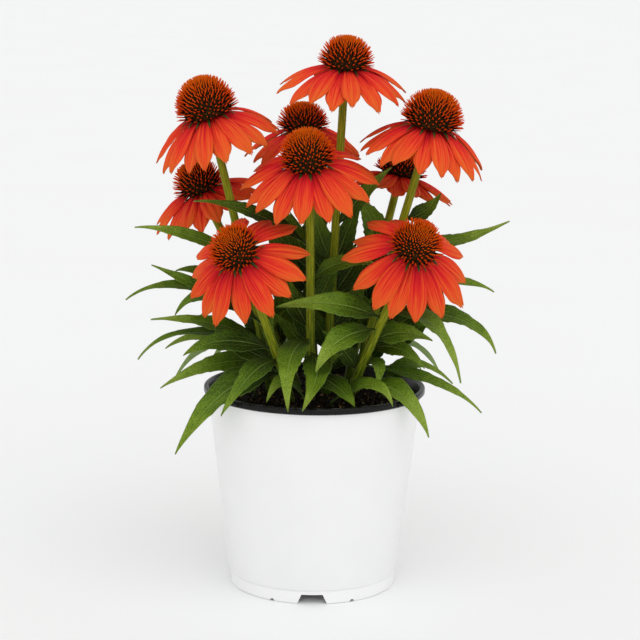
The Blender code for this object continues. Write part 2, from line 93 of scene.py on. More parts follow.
# Stems
STEM_RADIUS_FOOT = 3.3
STEM_RADIUS_HEAD = 2.8
FOOT_RISE = 0.07                # handles of its curve, as shares of its length
HEAD_REACH = 0.14
STEM_RIBS = 9
STEM_RINGS = 46
RIB_DEPTH = 0.035               # share of the radius
ROOT_DEPTHS = (12, 3)
FOOT_SWELL = 0.5
BRISTLES = 650
BRISTLE_LENGTH = 1.3
BRISTLE_RADIUS = 0.09
BRISTLE_SUNK = 0.15
BRISTLE_PLACES = 200            # places along a stem where a bristle may stand
CUP_PROFILE = ((2.6, -9.5), (3.1, -7.5), (4.6, -5.2), (6.8, -3.4), (8.4, -1.8), (8.6, -0.6),
               (6.0, 0.4))
CUP_SIDES = 36
BRACT_OUTLINE = (0.75, 1.0, 0.92, 0.72, 0.42, 0.05)
BRACT_THICKNESS = 0.22
# Rings of bracts: how many, radius and height of their roots on the head, length, width,
# rise in degrees, and droop as a share of the length. On a cone, radius and height are
# counted from the foot of its core.
CUP_BRACTS = ((13, 7.2, -3.2, 6.5, 2.6, -18, 0.35), (13, 6.4, -4.4, 6.5, 2.6, -30, 0.4))
CONE_BRACTS = (13, -1.5, -0.4, 8.0, 2.1, -14, 0.3)

# Petals. Outlines, here and for leaves, are shares of the length and of the width.
PETAL_WIDTH = 15.0
PETAL_ROOT_RADIUS = 6.5
PETAL_BED = 1.5                 # height of the petal roots on the head
PETAL_DISC = ((8.2, 0.3), (9.0, 1.0), (9.0, 2.0), (8.2, 2.7))   # radius and height
PETAL_LAYERS = (1.0, -1.0)      # every other petal lies above and below the bed
PETAL_ARCH = 1.9
PETAL_PLEAT = 0.5               # depth of the two grooves along a petal
PETAL_THICKNESS = 0.45
PETAL_EDGE = 0.55               # share of the thickness that its edges lack
PETAL_SIZES = (0.94, 1.04)      # smallest and largest share of the usual length and width
PETAL_NOD = 1.5                 # most that its tip droops more or less, in degrees
PETAL_FLARE = 0.5               # how far its edges wave up and down
TIP_START = 0.72                # where the teeth of the tip begin
TIP_GROOVE = 0.03               # how far grooves and edges stop short, as shares of its length
TIP_EDGE = 0.055
TIP_RAGGED = 0.01
PETAL_SWAY = 0.045              # most that its tip strays sideways, as a share of its length
PETAL_ROLL = 9                  # most that its tip rolls, in degrees
PETAL_STEPS = 28
PETAL_LANES = 19
DISC_SIDES = 32
PETAL_OUTLINE = ((0, 0.24), (0.12, 0.44), (0.3, 0.74), (0.48, 0.96), (0.6, 1.0),
                 (0.74, 0.93), (0.86, 0.72), (0.95, 0.46), (1.0, 0.3))

# Seed cones
SPIKE_SIDE = 6.0                # how far the solid's spikes stand out at its sides and top
SPIKE_TOP = 2.2
CONE_BASE = 3.0                 # height of the core's foot on the head
CONE_TUCK = math.radians(97)    # where the core's skin ends, from its top
CORE_INSET = 0.94               # share of the side spikes that stands out of the core
CORE_RINGS = 26
CORE_SIDES = 48
GOLDEN_ANGLE = math.pi * (3 - math.sqrt(5))
# The length, spacing and radius of the spines at these angles from a cone's top.
CONE_ANGLES = np.radians((0, 14.6, 28, 42, 70, 97))
SPINE_LENGTHS = (2.1, 2.3, 3.1, 4.6, 6.5, 7.3)
SPINE_SPACINGS = (1.2, 1.3, 1.7, 2.2, 2.7, 2.85)
SPINE_RADII = (0.36, 0.38, 0.42, 0.47, 0.5, 0.5)
SPINE_RISES = (0, 8, 17, 25, 29, 17)   # degrees that they turn up from square to the core
SPINE_PACKING = 0.87            # floor that one takes, as a share of its spacing squared
SPINE_SCATTER = 0.085
SPINE_SUNK = 1.0
SPINE_SIDES = 5
SPINE_STATIONS = ((0, 1.0), (0.45, 1.0), (0.88, 0.62))   # shares of length and of radius

# Leaves
LEAF_OUTLINE = ((0, 0.10), (0.08, 0.12), (0.14, 0.36), (0.21, 0.68), (0.3, 0.91),
                (0.38, 0.96), (0.5, 0.87), (0.6, 0.71), (0.7, 0.54), (0.8, 0.37),
                (0.9, 0.2), (0.96, 0.1), (1.0, 0.02))
BLADE_START = 0.21              # share of the length that is stalk
LEAF_STEPS = 60
LEAF_LANES = (0, 0.06, 0.16, 0.29, 0.42, 0.55, 0.7, 0.86, 1)   # shares of half its width
LEAF_TEETH = (0.29, 0.38, 0.47, 0.57, 0.69)   # their points, as shares of the length
TOOTH_SHIFT = 0.035
TOOTH_RISE = 0.08
TOOTH_FALL = 0.014
TOOTH_DEPTHS = (0.06, 0.16)     # shares of half the blade's width
LEAF_THICKNESS = 0.35
LEAF_EDGE = 0.5                 # share of the thickness that its edges lack
LEAF_TWIST = 14                 # most that it twists over its length, in degrees
LEAF_FOLD = 0.12                # rise of the edges over half the width
EDGE_LIFT = 0.75
MIDRIB_SINK = 0.25
LEAF_PUFFS = ((0.04, 0.42, 0.32), (0.42, 1.0, 0.28))   # from and to, in shares, and swell
LEAF_WAVE = 0.09                # rise and fall of the edges over half the width
LEAF_WAVES = (2.2, 3.4)         # fewest and most of them
RIB_HEIGHTS = (0.8, 0.3)        # under the leaf, at its root and at its tip
RIB_WIDTH = 0.75
STALK_SWELL = 0.55
SIDE_VEINS = 15                 # pairs of them on a leaf

# Stage: lengths here are metres but for the lens, and angles are degrees.
FLOOR_REACH = 30.0
ROOM_LIGHT = 0.8
OVERHEAD_LIGHT = 0.85
OVERHEAD_SPREAD = 70            # how wide a part of the sky it fills, for soft shadows
OVERHEAD_LEAN = (34, 8)         # about X and about Y
SENSOR = 36.0                   # millimetres, as the lens
LENS = 113.6
CAMERA_AIM = (0.0036, 0, 0.2)
CAMERA_DISTANCE = 1.5
CAMERA_ELEVATION = 10.66
CAMERA_ROLL = 0.63

# Blooms: number, middle of the head, the degrees that it leans to the right and to the
# viewer, the cone's width and height, the stem's foot, petal length, the degrees that petals
# droop at root and tip, and the angle of each petal.
Bloom = namedtuple("Bloom", "number head lean cone foot petal droop angles")
BLOOMS = [Bloom(*row) for row in (
    (1, (20.1, 4, 384.6), (3, 9), (41, 26), (9, 5), 49, (2, 52),
     (192, 217, 238, 261, 278, 302, 324, 349, 15, 41, 66, 91, 116, 142, 167)),
    (2, (-78.6, 0, 349.6), (-16, 11), (46, 32), (-33, 8), 51, (7, 60),
     (182, 205, 224, 242, 258, 279, 302, 321, 345, 8, 33, 63, 93, 123, 152)),
    (3, (81.5, -13, 344.0), (12, 8), (46, 30), (30, 6), 50, (8, 62),
     (158, 182, 207, 225, 243, 264, 287, 306, 324, 348, 14, 43, 72, 101, 130)),
    (4, (-10.7, 59, 333.8), (-3, 6), (40, 24), (0, 28), 44, (4, 54),
     (172, 202, 228, 254, 282, 310, 337, 11, 38, 65, 92, 119, 146)),
    (5, (-6.0, -36, 319.0), (-5, 26), (42, 29), (-3, -12), 49, (4, 52),
     (173, 196, 218, 238, 263, 285, 305, 331, 354, 17, 43, 73, 97, 121, 147)),
    (6, (-86.2, 40, 289.8), (-22, 12), (40, 26), (-14, 22), 42, (2, 48),
     (197, 219, 243, 263, 281, 306, 328, 352, 17, 45, 71, 96, 121, 147, 172)),
    (7, (62.0, 40, 301.5), (12, -4), (40, 21), (25, 25), 41, (2, 36),
     (248, 268, 287, 309, 331, 355, 20, 48, 77, 105, 134, 162, 190, 219)),
    (8, (-54.5, -62, 257.8), (-18, 46), (40, 24), (-18, -25), 48, (8, 56),
     (142, 168, 195, 216, 235, 259, 285, 309, 332, 2, 35, 63, 90, 117)),
    (9, (69.8, -60, 262.4), (11, 46), (40, 24), (26, -22), 50, (12, 58),
     (134, 158, 182, 213, 240, 261, 283, 307, 331, 358, 28, 50, 71, 105)),
)]

# Basal crowns: number and place in the soil.
CROWNS = {1: (-44, -10), 2: (-6, -34), 3: (12, -38), 4: (50, -10), 5: (26, 44), 6: (-28, 40)}
CROWN_PROFILE = ((3.4, -12), (3.4, -1), (2.6, 0.8), (1.6, 2.2), (0.4, 3.0))
CROWN_SIDES = 24
# The crown's low along and chance give it the darkest leaf colours, those of a leaf's base, which are
# partly painted shade.
CROWN_GROWTH = (0.5, 0.1, 0.1)  # its place on the colours of a leaf

# Leaves on the stems: stem number, height where it grows out, a point halfway along, the
# tip, width, and the way its upper face leans in degrees, to the right and to the viewer.
STEM_LEAVES = (
    # left side, from the top down
    (2, 244, (-95, -8, 264), (-133, -8, 269), 12, (0, 45)),
    (5, 258, (-46, -10, 281), (-89, -17, 290), 14, (0, 40)),
    (2, 205, (-86, 2, 224), (-122, 6, 239), 14, (0, 40)),
    (6, 215, (-84, 42, 228), (-107, 46, 228), 12, (0, 40)),
    (6, 195, (-98, 26, 220), (-142, 14, 211), 13, (0, 30)),
    (8, 200, (-76, -24, 222), (-103, -15, 205), 16, (0, 45)),
    (2, 184, (-80, 6, 196), (-123, 10, 197), 16, (0, 30)),
    (6, 170, (-92, 14, 187), (-132, 2, 168), 12, (0, 20)),
    (6, 176, (-78, 34, 182), (-114, 34, 170), 14, (0, 40)),
    (8, 183, (-66, -28, 189), (-96, -30, 178), 20, (0, 45)),
    (2, 165, (-74, -6, 167), (-114, -15, 150), 17, (0, 45)),
    # over the front of the rim
    (8, 164, (-63, -54, 158), (-99, -70, 114), 28, (0, 25)),
    (8, 176, (-44, -58, 172), (-66, -76, 144), 21, (-10, 35)),
    (5, 188, (-17, -62, 184), (-18, -103, 154), 21, (0, 15)),
    (5, 178, (2, -60, 173), (-8, -101, 154), 21, (0, 15)),
    (9, 200, (18, -60, 197), (1, -66, 174), 22, (0, 45)),
    (5, 164, (17, -50, 160), (29, -69, 150), 19, (0, 25)),
    (9, 156, (61, -46, 156), (83, -56, 125), 24, (10, 25)),
    # right side, from the bottom up
    (3, 165, (87, -14, 158), (124, -15, 134), 11, (0, 35)),
    (9, 172, (46, -38, 174), (44, -48, 158), 13, (20, 45)),
    (3, 178, (62, -10, 181), (81, -15, 167), 16, (0, 45)),
    (9, 190, (62, -30, 197), (86, -25, 190), 19, (0, 50)),
    (9, 212, (84, -45, 207), (106, -45, 163), 21, (30, 30)),
    (3, 206, (104, -12, 205), (133, -20, 180), 19, (20, 35)),
    (7, 220, (98, 18, 228), (134, 20, 219), 12, (0, 40)),
    (3, 256, (104, 10, 259), (144, 18, 273), 15, (0, 35)),
    (3, 276, (80, -8, 284), (91, -8, 297), 13, (0, 60)),
    # among the stems
    (9, 208, (14, -48, 221), (-28, -48, 218), 20, (0, 50)),
    (5, 232, (20, -16, 246), (48, -14, 243), 14, (0, 45)),
    (1, 268, (34, 0, 294), (55, -5, 315), 14, (0, 60)),
    (7, 246, (42, 16, 272), (28, 12, 292), 20, (0, 70)),
    (1, 240, (2, 6, 266), (-4, 0, 292), 16, (0, 75)),
    (5, 238, (-14, -4, 262), (-26, 0, 286), 15, (0, 75)),
    (4, 230, (-30, 22, 262), (-48, 20, 280), 20, (0, 60)),
    (1, 205, (30, 16, 226), (52, 20, 238), 15, (0, 60)),
    (4, 190, (-24, 46, 218), (-44, 52, 240), 16, (0, 60)),
    (7, 188, (36, 44, 214), (50, 62, 236), 16, (0, 50)),
    # behind
    (4, 215, (24, 66, 236), (52, 88, 224), 16, (0, -40)),
    (4, 195, (-28, 68, 218), (-54, 89, 206), 17, (0, -40)),
    (4, 172, (2, 66, 196), (8, 90, 176), 17, (0, -40)),
    (6, 185, (-62, 58, 202), (-94, 82, 182), 16, (0, -40)),
    (7, 178, (68, 40, 192), (102, 50, 174), 16, (0, -30)),
)

# Leaves on the basal crowns: the same, with the crown's number and no height.
CROWN_LEAVES = (
    (1, (-56, 4, 164), (-76, 14, 160), 15, (0, 40)),
    (2, (-22, -50, 164), (-34, -66, 152), 15, (0, 30)),
    (3, (40, -58, 164), (56, -74, 152), 16, (0, 30)),
    (4, (72, 6, 166), (104, 12, 150), 16, (0, 30)),
    (5, (54, 68, 176), (84, 88, 144), 18, (0, -30)),
    (5, (24, 70, 174), (34, 90, 142), 19, (0, -20)),
    (5, (66, 56, 172), (98, 74, 144), 17, (0, -30)),
    (6, (-54, 68, 176), (-84, 88, 144), 18, (0, -30)),
    (6, (-22, 72, 172), (-30, 91, 140), 19, (0, -20)),
    (6, (-74, 48, 170), (-110, 60, 138), 17, (0, -30)),
)

# Young leaves that only fill the middle of the plant, as rows like those of STEM_LEAVES.
# They are mostly hidden, so they have fewer stations, and their colour is darkened with painted shade
# for the dim middle of the plant.
INNER_LEAF_PAINTED_LIGHT = 0.25
INNER_LEAF_STEPS = 44
INNER_LEAVES = (
    (1, 172, (4, 12, 192), (-14, 16, 214), 17, (0, 60)),
    (1, 158, (24, 16, 176), (40, 20, 200), 17, (0, 50)),
    (4, 168, (-14, 36, 190), (-34, 40, 214), 18, (0, 55)),
    (4, 182, (12, 38, 204), (20, 40, 232), 17, (0, 65)),
    (7, 168, (30, 36, 186), (16, 38, 208), 17, (0, 55)),
    (6, 160, (-34, 22, 178), (-54, 24, 198), 16, (0, 50)),
    (5, 168, (-14, 4, 186), (-36, 8, 206), 16, (0, 55)),
    (2, 160, (-40, 18, 180), (-22, 22, 204), 17, (0, 55)),
    (3, 162, (48, 14, 182), (58, 18, 206), 17, (0, 55)),
    (3, 186, (40, 12, 204), (24, 16, 224), 15, (0, 60)),
    (7, 178, (44, 28, 200), (36, 30, 226), 15, (0, 60)),
    (9, 166, (22, -18, 180), (6, -22, 196), 14, (0, 55)),
    (8, 160, (-28, -14, 176), (-40, -14, 196), 15, (0, 55)),
    (5, 158, (8, -18, 170), (20, -26, 180), 14, (0, 45)),
    (1, 215, (28, 10, 240), (44, 14, 268), 18, (0, 65)),
    (7, 205, (36, 22, 232), (22, 18, 258), 18, (0, 65)),
    (1, 190, (26, 8, 212), (42, 8, 236), 17, (0, 60)),
    (5, 205, (8, -6, 228), (20, -4, 252), 14, (0, 65)),
    (4, 250, (2, 40, 270), (14, 44, 292), 17, (0, 70)),
    (1, 225, (-4, 14, 246), (-22, 18, 262), 16, (0, 60)),
    (4, 210, (-16, 40, 232), (-32, 42, 254), 18, (0, 60)),
    (4, 205, (14, 44, 228), (32, 46, 252), 18, (0, 60)),
    (2, 200, (-52, 12, 218), (-38, 16, 240), 16, (0, 60)),
    (3, 215, (60, 6, 234), (52, 8, 254), 15, (0, 60)),
    (6, 205, (-50, 30, 224), (-42, 30, 248), 16, (0, 60)),
    (3, 175, (70, 0, 190), (86, 6, 204), 16, (0, 50)),
    (8, 172, (-56, -20, 184), (-74, -18, 196), 16, (0, 50)),
    (1, 236, (22, 14, 262), (34, 18, 288), 17, (0, 70)),
    (7, 228, (46, 22, 250), (42, 26, 276), 16, (0, 70)),
    (4, 225, (-10, 36, 250), (-20, 34, 276), 18, (0, 65)),
    (1, 182, (20, 20, 204), (12, 26, 230), 18, (0, 60)),
    (6, 170, (-30, 30, 192), (-26, 34, 220), 18, (0, 60)),
    (2, 178, (-46, 14, 198), (-54, 20, 222), 17, (0, 60)),
    (5, 182, (-10, 0, 204), (-20, 6, 230), 16, (0, 60)),
    (4, 196, (0, 36, 218), (6, 38, 244), 18, (0, 65)),
    (3, 170, (52, 20, 190), (68, 26, 206), 17, (0, 55)),
    (8, 166, (-34, -6, 184), (-30, -4, 206), 15, (0, 60)),
    (7, 200, (32, 34, 222), (40, 36, 246), 17, (0, 60)),
    (1, 200, (16, 14, 222), (4, 18, 248), 17, (0, 65)),
    (4, 216, (8, 48, 238), (22, 52, 262), 18, (0, 65)),
    (5, 194, (-16, 2, 214), (-30, 8, 236), 16, (0, 60)),
    (2, 188, (-46, 8, 206), (-34, 12, 228), 17, (0, 55)),
    (3, 190, (50, 14, 210), (62, 20, 230), 16, (0, 55)),
    (6, 186, (-44, 28, 206), (-34, 34, 230), 17, (0, 60)),
    (1, 176, (2, 14, 194), (-8, 18, 214), 17, (0, 55)),
    (4, 238, (-4, 46, 260), (2, 46, 284), 17, (0, 70)),
    (3, 176, (66, 4, 196), (84, 8, 214), 16, (0, 50)),
    (3, 182, (72, 2, 204), (94, 2, 224), 14, (0, 50)),
    (7, 190, (52, 36, 210), (70, 38, 230), 16, (0, 55)),
)


def linear(code):
    """An sRGB hex colour as linear RGBA."""
    values = [int(code[i:i + 2], 16) / 255 for i in (1, 3, 5)]
    return [v / 12.92 if v <= 0.04045 else ((v + 0.055) / 1.055) ** 2.4 for v in values] + [1]


def join(tree, source, socket):
    """Link an output, or a node's first output, to an input."""
    tree.links.new(getattr(source, "outputs", [source])[0], socket)


def add(tree, kind, settings=None, links=None):
    """Add one shader node. Its kind may end in its operation. Settings and links go by socket
    name or number, other settings by the node's own property; "stops" are the places and
    colours of a ramp."""
    kind, _, operation = kind.partition(" ")
    node = tree.nodes.new("ShaderNode" + kind)
    if operation:
        node.operation = operation
    for key, value in (settings or {}).items():
        if key == "stops":
            ramp = node.color_ramp
            while len(ramp.elements) < len(value):
                ramp.elements.new(0.5)
            for stop, (place, colour) in zip(ramp.elements, value):
                stop.position = place
                stop.color = linear(colour) if isinstance(colour, str) else (colour,) * 3 + (1,)
        elif isinstance(key, int) or key in node.inputs:
            node.inputs[key].default_value = value
        else:
            setattr(node, key, value)
    for key, source in (links or {}).items():
        join(tree, source, node.inputs[key])
    return node


Look = namedtuple("Look", "material shader place growth across along chance")


def finish(name, roughness, ior=1.5, gloss=0.5):
    """Start a material: its place is in metres, and across, along and chance are the three
    values that piece() keeps as growth."""
    material = bpy.data.materials.new(name)
    material.use_nodes = True
    tree = material.node_tree
    shader = tree.nodes["Principled BSDF"]
    shader.inputs["Roughness"].default_value = roughness
    shader.inputs["IOR"].default_value = ior
    shader.inputs["Specular IOR Level"].default_value = gloss
    place = add(tree, "TexCoord").outputs["Object"]
    growth = add(tree, "Attribute", {"attribute_name": "growth"}).outputs["Vector"]
    shares = add(tree, "SeparateXYZ", links={0: growth}).outputs
    return Look(material, shader, place, growth, *shares), tree


def wear(look, links, tint=None, thinness=0.0):
    """Join nodes to the shader by socket name, and let a share of tinted light through."""
    tree = look.material.node_tree
    for key, source in links.items():
        join(tree, source, look.shader.inputs[key])
    if tint is not None:
        through = add(tree, "BsdfTranslucent", links={0: tint})
        both = add(tree, "MixShader", {0: thinness}, {1: look.shader, 2: through})
        join(tree, both, tree.nodes["Material Output"].inputs[0])
    return look.material


# Noise and cells that work on place have their scale in cells to the metre: 1000 is 1 mm.


def petal_flesh():
    """Fresh ray petal, as grown: satin, crimson at its root and orange towards its tip, with
    fine streaks along it, and thin enough to let some light through."""
    look, tree = finish("fresh_ray_petal", 0.6, 1.4, 0.12)
    own = add(tree, "Math MULTIPLY", {1: 37.0}, {0: look.chance})
    lanes = add(tree, "CombineXYZ", links={0: look.across, 1: look.along, 2: own})
    # Streaks are near 0.8 mm apart on a petal 15 mm wide, and run most of its length. The
    # veins between them are near 0.4 mm apart.
    stretched = add(tree, "VectorMath MULTIPLY", {1: (9.0, 1.2, 1.0)}, {0: lanes})
    streaks = add(tree, "TexNoise", {"Scale": 1.0, "Detail": 5.0, "Roughness": 0.7},
                  {"Vector": stretched})
    petal_tone = add(tree, "Math MULTIPLY_ADD", {1: 2.8}, {0: streaks, 2: look.along})
    shade = add(tree, "Math ABSOLUTE", links={0: look.chance})
    petal_tone = add(tree, "Math MULTIPLY_ADD", {1: 0.16}, {0: shade, 2: petal_tone})
    # Painted shade in the two grooves: the colour follows them, redder and darker in the grooves and
    # more orange on the ridges.
    groove_painted_shade = add(tree, "Math MULTIPLY", {1: 3 * math.pi}, {0: look.across})
    groove_painted_shade = add(tree, "Math COSINE", links={0: groove_painted_shade})
    petal_tone = add(tree, "Math MULTIPLY_ADD", {1: 0.05}, {0: groove_painted_shade, 2: petal_tone})
    side = add(tree, "Math ABSOLUTE", links={0: look.across})
    edge = add(tree, "MapRange", {1: 0.75, 2: 1.0, 3: 0.0, 4: 0.14}, {0: side})
    petal_tone = add(tree, "Math ADD", links={0: petal_tone, 1: edge})
    tone = add(tree, "MapRange", {1: 1.34, 2: 2.85, 3: 0.0, 4: 1.0}, {0: petal_tone})
    upper = add(tree, "ValToRGB", {"stops": (
        (0.0, "#BA0E2C"), (0.2, "#DE1829"), (0.4, "#F03A25"), (0.58, "#F75A2A"),
        (0.8, "#F2702B"), (1.0, "#EF8A3A"))}, {0: tone})
    lower = add(tree, "ValToRGB", {"stops": (
        (0.0, "#B83A28"), (0.5, "#D8602F"), (1.0, "#E58C50"))}, {0: tone})
    beneath = add(tree, "Math LESS_THAN", {1: 0.0}, {0: look.chance})
    colour = add(tree, "Mix", {"data_type": "RGBA"}, {0: beneath, 6: upper, 7: lower})
    veins = add(tree, "TexNoise", {"Scale": 1.9, "Detail": 2.0}, {"Vector": stretched})
    bump = add(tree, "Bump", {"Strength": 0.8, "Distance": 0.0005}, {"Height": veins})
    return wear(look, {"Base Color": colour.outputs[2], "Normal": bump}, colour.outputs[2], 0.18)


def leaf_flesh():
    """Fresh leaf, as grown: green and slightly glossy above with paler sunk veins, dull and
    greyer below, with a fine pebbled grain between the veins. It is paler towards its tip, its own
    colour, and darker towards its base, partly its own colour and partly painted shade."""
    look, tree = finish("fresh_leaf", 0.5, 1.42, 0.22)
    # Blotches are near 14 mm. The pebbled grain is near 0.5 mm: its colour is drawn at 0.7 mm
    # and its bumps at 1.1 mm, so that they show.
    blotch = add(tree, "TexNoise", {"Scale": 70.0, "Detail": 4.0, "Roughness": 0.6},
                 {"Vector": look.place})
    pebble = add(tree, "TexNoise", {"Scale": 1500.0, "Detail": 1.0}, {"Vector": look.place})
    tone = add(tree, "Math MULTIPLY_ADD", {1: 1.0, 2: -0.25}, {0: pebble})
    tone = add(tree, "Math MULTIPLY_ADD", {1: 0.5}, {0: blotch, 2: tone})
    # Each leaf's chance sets its tone. For the inner leaves that chance is lowered, which is painted
    # shade.
    own = add(tree, "Math ABSOLUTE", links={0: look.chance})
    tone = add(tree, "Math MULTIPLY_ADD", {1: 0.34}, {0: own, 2: tone})
    # Paler towards the tip and darker towards the base. The pale tip is the leaf's own colour; the
    # dark base is partly its own colour and partly painted shade from deep in the plant.
    tip = add(tree, "MapRange", {1: 0.1, 2: 1.0, 3: -0.46, 4: 0.3}, {0: look.along})
    tone = add(tree, "Math ADD", links={0: tone, 1: tip})
    upper = add(tree, "ValToRGB", {"stops": (
        (0.1, "#1B2C03"), (0.38, "#334B07"), (0.62, "#54730D"), (0.85, "#7A9422"),
        (1.0, "#98AE46"))}, {0: tone})
    lower = add(tree, "ValToRGB", {"stops": ((0.2, "#5A7438"), (0.9, "#90A866"))}, {0: tone})
    beneath = add(tree, "Math LESS_THAN", {1: 0.0}, {0: look.chance})
    blade = add(tree, "Mix", {"data_type": "RGBA"}, {0: beneath, 6: upper, 7: lower})
    # The midrib and two veins each side run with the edges; side veins leave them slantwise.
    width = add(tree, "Math ABSOLUTE", links={0: look.across})
    ribs = add(tree, "ValToRGB", {"stops": (
        (0.0, 1.0), (0.025, 0.8), (0.06, 0.0), (0.31, 0.0), (0.35, 0.45), (0.39, 0.0),
        (0.64, 0.0), (0.67, 0.22), (0.7, 0.0), (0.93, 0.0), (1.0, 0.7))}, {0: width})
    slant = add(tree, "Math MULTIPLY_ADD", {1: -0.16}, {0: width, 2: look.along})
    slant = add(tree, "Math MULTIPLY_ADD", {1: 0.09}, {0: blotch, 2: slant})
    comb = add(tree, "Math MULTIPLY", {1: 2 * math.pi * SIDE_VEINS}, {0: slant})
    crest = add(tree, "Math SINE", links={0: comb})
    side_veins = add(tree, "MapRange", {1: 0.8, 2: 1.0, 3: 0.0, 4: 0.2}, {0: crest})
    veins = add(tree, "Math MAXIMUM", links={0: ribs, 1: side_veins})
    shown = add(tree, "Math MULTIPLY", {1: 0.55}, {0: veins})
    colour = add(tree, "Mix", {"data_type": "RGBA", 7: linear("#9CB85A")},
                 {0: shown, 6: blade.outputs[2]})
    cells = add(tree, "TexVoronoi", {"Scale": 900.0}, {"Vector": look.place})
    grain = add(tree, "Bump", {"Strength": 0.5, "Distance": 0.0003}, {"Height": cells})
    relief = add(tree, "Bump", {"Strength": 0.6, "Distance": 0.0005, "invert": True},
                 {"Height": veins, "Normal": grain})
    return wear(look, {"Base Color": colour.outputs[2], "Normal": relief},
                colour.outputs[2], 0.15)


def stem_skin():
    """Fresh herbaceous stem, as grown: yellow-green with fine lengthwise ribs and streaks. Its lower
    part is darkened with painted shade.
    """
    look, tree = finish("fresh_stem", 0.5, 1.42, 0.15)
    # Streaks are near 1 mm wide on a stem 19 mm round, and some 15 mm long.
    lanes = add(tree, "VectorMath MULTIPLY", {1: (20.0, 14.0, 1.0)}, {0: look.growth})
    streaks = add(tree, "TexNoise", {"Scale": 1.0, "Detail": 3.0}, {"Vector": lanes})
    turn = add(tree, "Math MULTIPLY", {1: 2 * math.pi * STEM_RIBS}, {0: look.across})
    ribs = add(tree, "Math COSINE", links={0: turn})
    tone = add(tree, "Math MULTIPLY_ADD", {1: 0.09}, {0: ribs, 2: streaks})
    # Painted shade: the stem is coloured darker towards its foot, down among the leaves.
    low_stem_painted_shade = add(tree, "MapRange", {1: 0.0, 2: 0.6, 3: -0.32, 4: 0.04}, {0: look.along})
    tone = add(tree, "Math ADD", links={0: tone, 1: low_stem_painted_shade})
    colour = add(tree, "ValToRGB", {"stops": (
        (0.12, "#2E4208"), (0.3, "#526A0E"), (0.5, "#868C16"), (0.8, "#AAAA28"))}, {0: tone})
    bump = add(tree, "Bump", {"Strength": 0.3, "Distance": 0.0002}, {"Height": tone})
    return wear(look, {"Base Color": colour, "Normal": bump})


def stem_bristle():
    """Fine stem bristles, as grown: pale, dry and whiter towards their points."""
    look, tree = finish("pale_bristle", 0.6, 1.45, 0.2)
    colour = add(tree, "ValToRGB", {"stops": (
        (0.0, "#8A9630"), (0.5, "#ADB564"), (1.0, "#D2D6A6"))}, {0: look.across})
    return wear(look, {"Base Color": colour})


def bract_flesh():
    """Fresh bracts, as grown: narrow, dark green and paler towards their points."""
    look, tree = finish("fresh_bract", 0.5, 1.42, 0.2)
    # Flecks are near 1.4 mm, half the width of a bract.
    fleck = add(tree, "TexNoise", {"Scale": 700.0, "Detail": 3.0}, {"Vector": look.place})
    tone = add(tree, "Math MULTIPLY_ADD", {1: 0.7, 2: -0.1}, {0: look.along})
    tone = add(tree, "Math MULTIPLY_ADD", {1: 0.45}, {0: fleck, 2: tone})
    colour = add(tree, "ValToRGB", {"stops": (
        (0.1, "#1A2C0A"), (0.5, "#2C4410"), (0.95, "#5E7232"))}, {0: tone})
    return wear(look, {"Base Color": colour})


def cone_spine():
    """Stiff cone spine, as grown: dark and dull at its foot, waxy orange towards its point,
    redder and darker low on the cone and yellower on the crown. The darker colour low on the cone is
    partly its own and partly painted shade."""
    look, tree = finish("waxy_cone_spine", 0.45, 1.45, 0.15)
    outward, height = look.across, look.along
    # Colour by height: redder and darker low on the cone and yellower on the crown. Low on the cone
    # this is partly the spines' own colour and partly painted shade.
    tone = add(tree, "Math MULTIPLY_ADD", {1: 0.16}, {0: look.chance, 2: height})
    tone = add(tree, "Math MULTIPLY_ADD", {1: 0.34}, {0: outward, 2: tone})
    lit = add(tree, "ValToRGB", {"stops": (
        (0.05, "#DE3E0C"), (0.3, "#FA580C"), (0.6, "#FF6C0C"), (1.0, "#FF8812"))}, {0: tone})
    # Low on the cone the dark foot is darker and reaches farther out, which is partly painted shade
    # too.
    foot = add(tree, "ValToRGB", {"stops": (
        (0.0, "#241204"), (0.5, "#421E06"), (1.0, "#A04408"))}, {0: height})
    start = add(tree, "MapRange", {1: 0.0, 2: 1.0, 3: 0.4, 4: 0.06}, {0: height})
    end = add(tree, "Math ADD", {1: 0.25}, {0: start})
    share = add(tree, "MapRange", {3: 0.0, 4: 1.0, "interpolation_type": "SMOOTHSTEP"},
                {0: outward, 1: start, 2: end})
    colour = add(tree, "Mix", {"data_type": "RGBA"}, {0: share, 6: foot, 7: lit})
    # Flecks are near 0.7 mm, a little less than a spine is thick.
    fleck = add(tree, "TexNoise", {"Scale": 1500.0, "Detail": 2.0}, {"Vector": look.place})
    shade = add(tree, "MapRange", {1: 0.3, 2: 0.7, 3: 0.78, 4: 1.0}, {0: fleck})
    flecked = add(tree, "Mix", {"data_type": "RGBA", "blend_type": "MULTIPLY", 0: 1.0},
                  {6: colour.outputs[2], 7: shade})
    return wear(look, {"Base Color": flecked.outputs[2]}, flecked.outputs[2], 0.46)


def cone_core():
    """Packed florets of the cone, as grown: matt, dark brown with olive and rust flecks."""
    look, tree = finish("packed_florets", 0.8, 1.45, 0.1)
    # Florets are near 1.1 mm.
    fleck = add(tree, "TexNoise", {"Scale": 900.0, "Detail": 3.0}, {"Vector": look.place})
    colour = add(tree, "ValToRGB", {"stops": (
        (0.35, "#140A03"), (0.5, "#2C1A06"), (0.62, "#40300A"), (0.75, "#6A340A"))}, {0: fleck})
    bump = add(tree, "Bump", {"Strength": 0.8, "Distance": 0.0005}, {"Height": fleck})
    return wear(look, {"Base Color": colour, "Normal": bump})


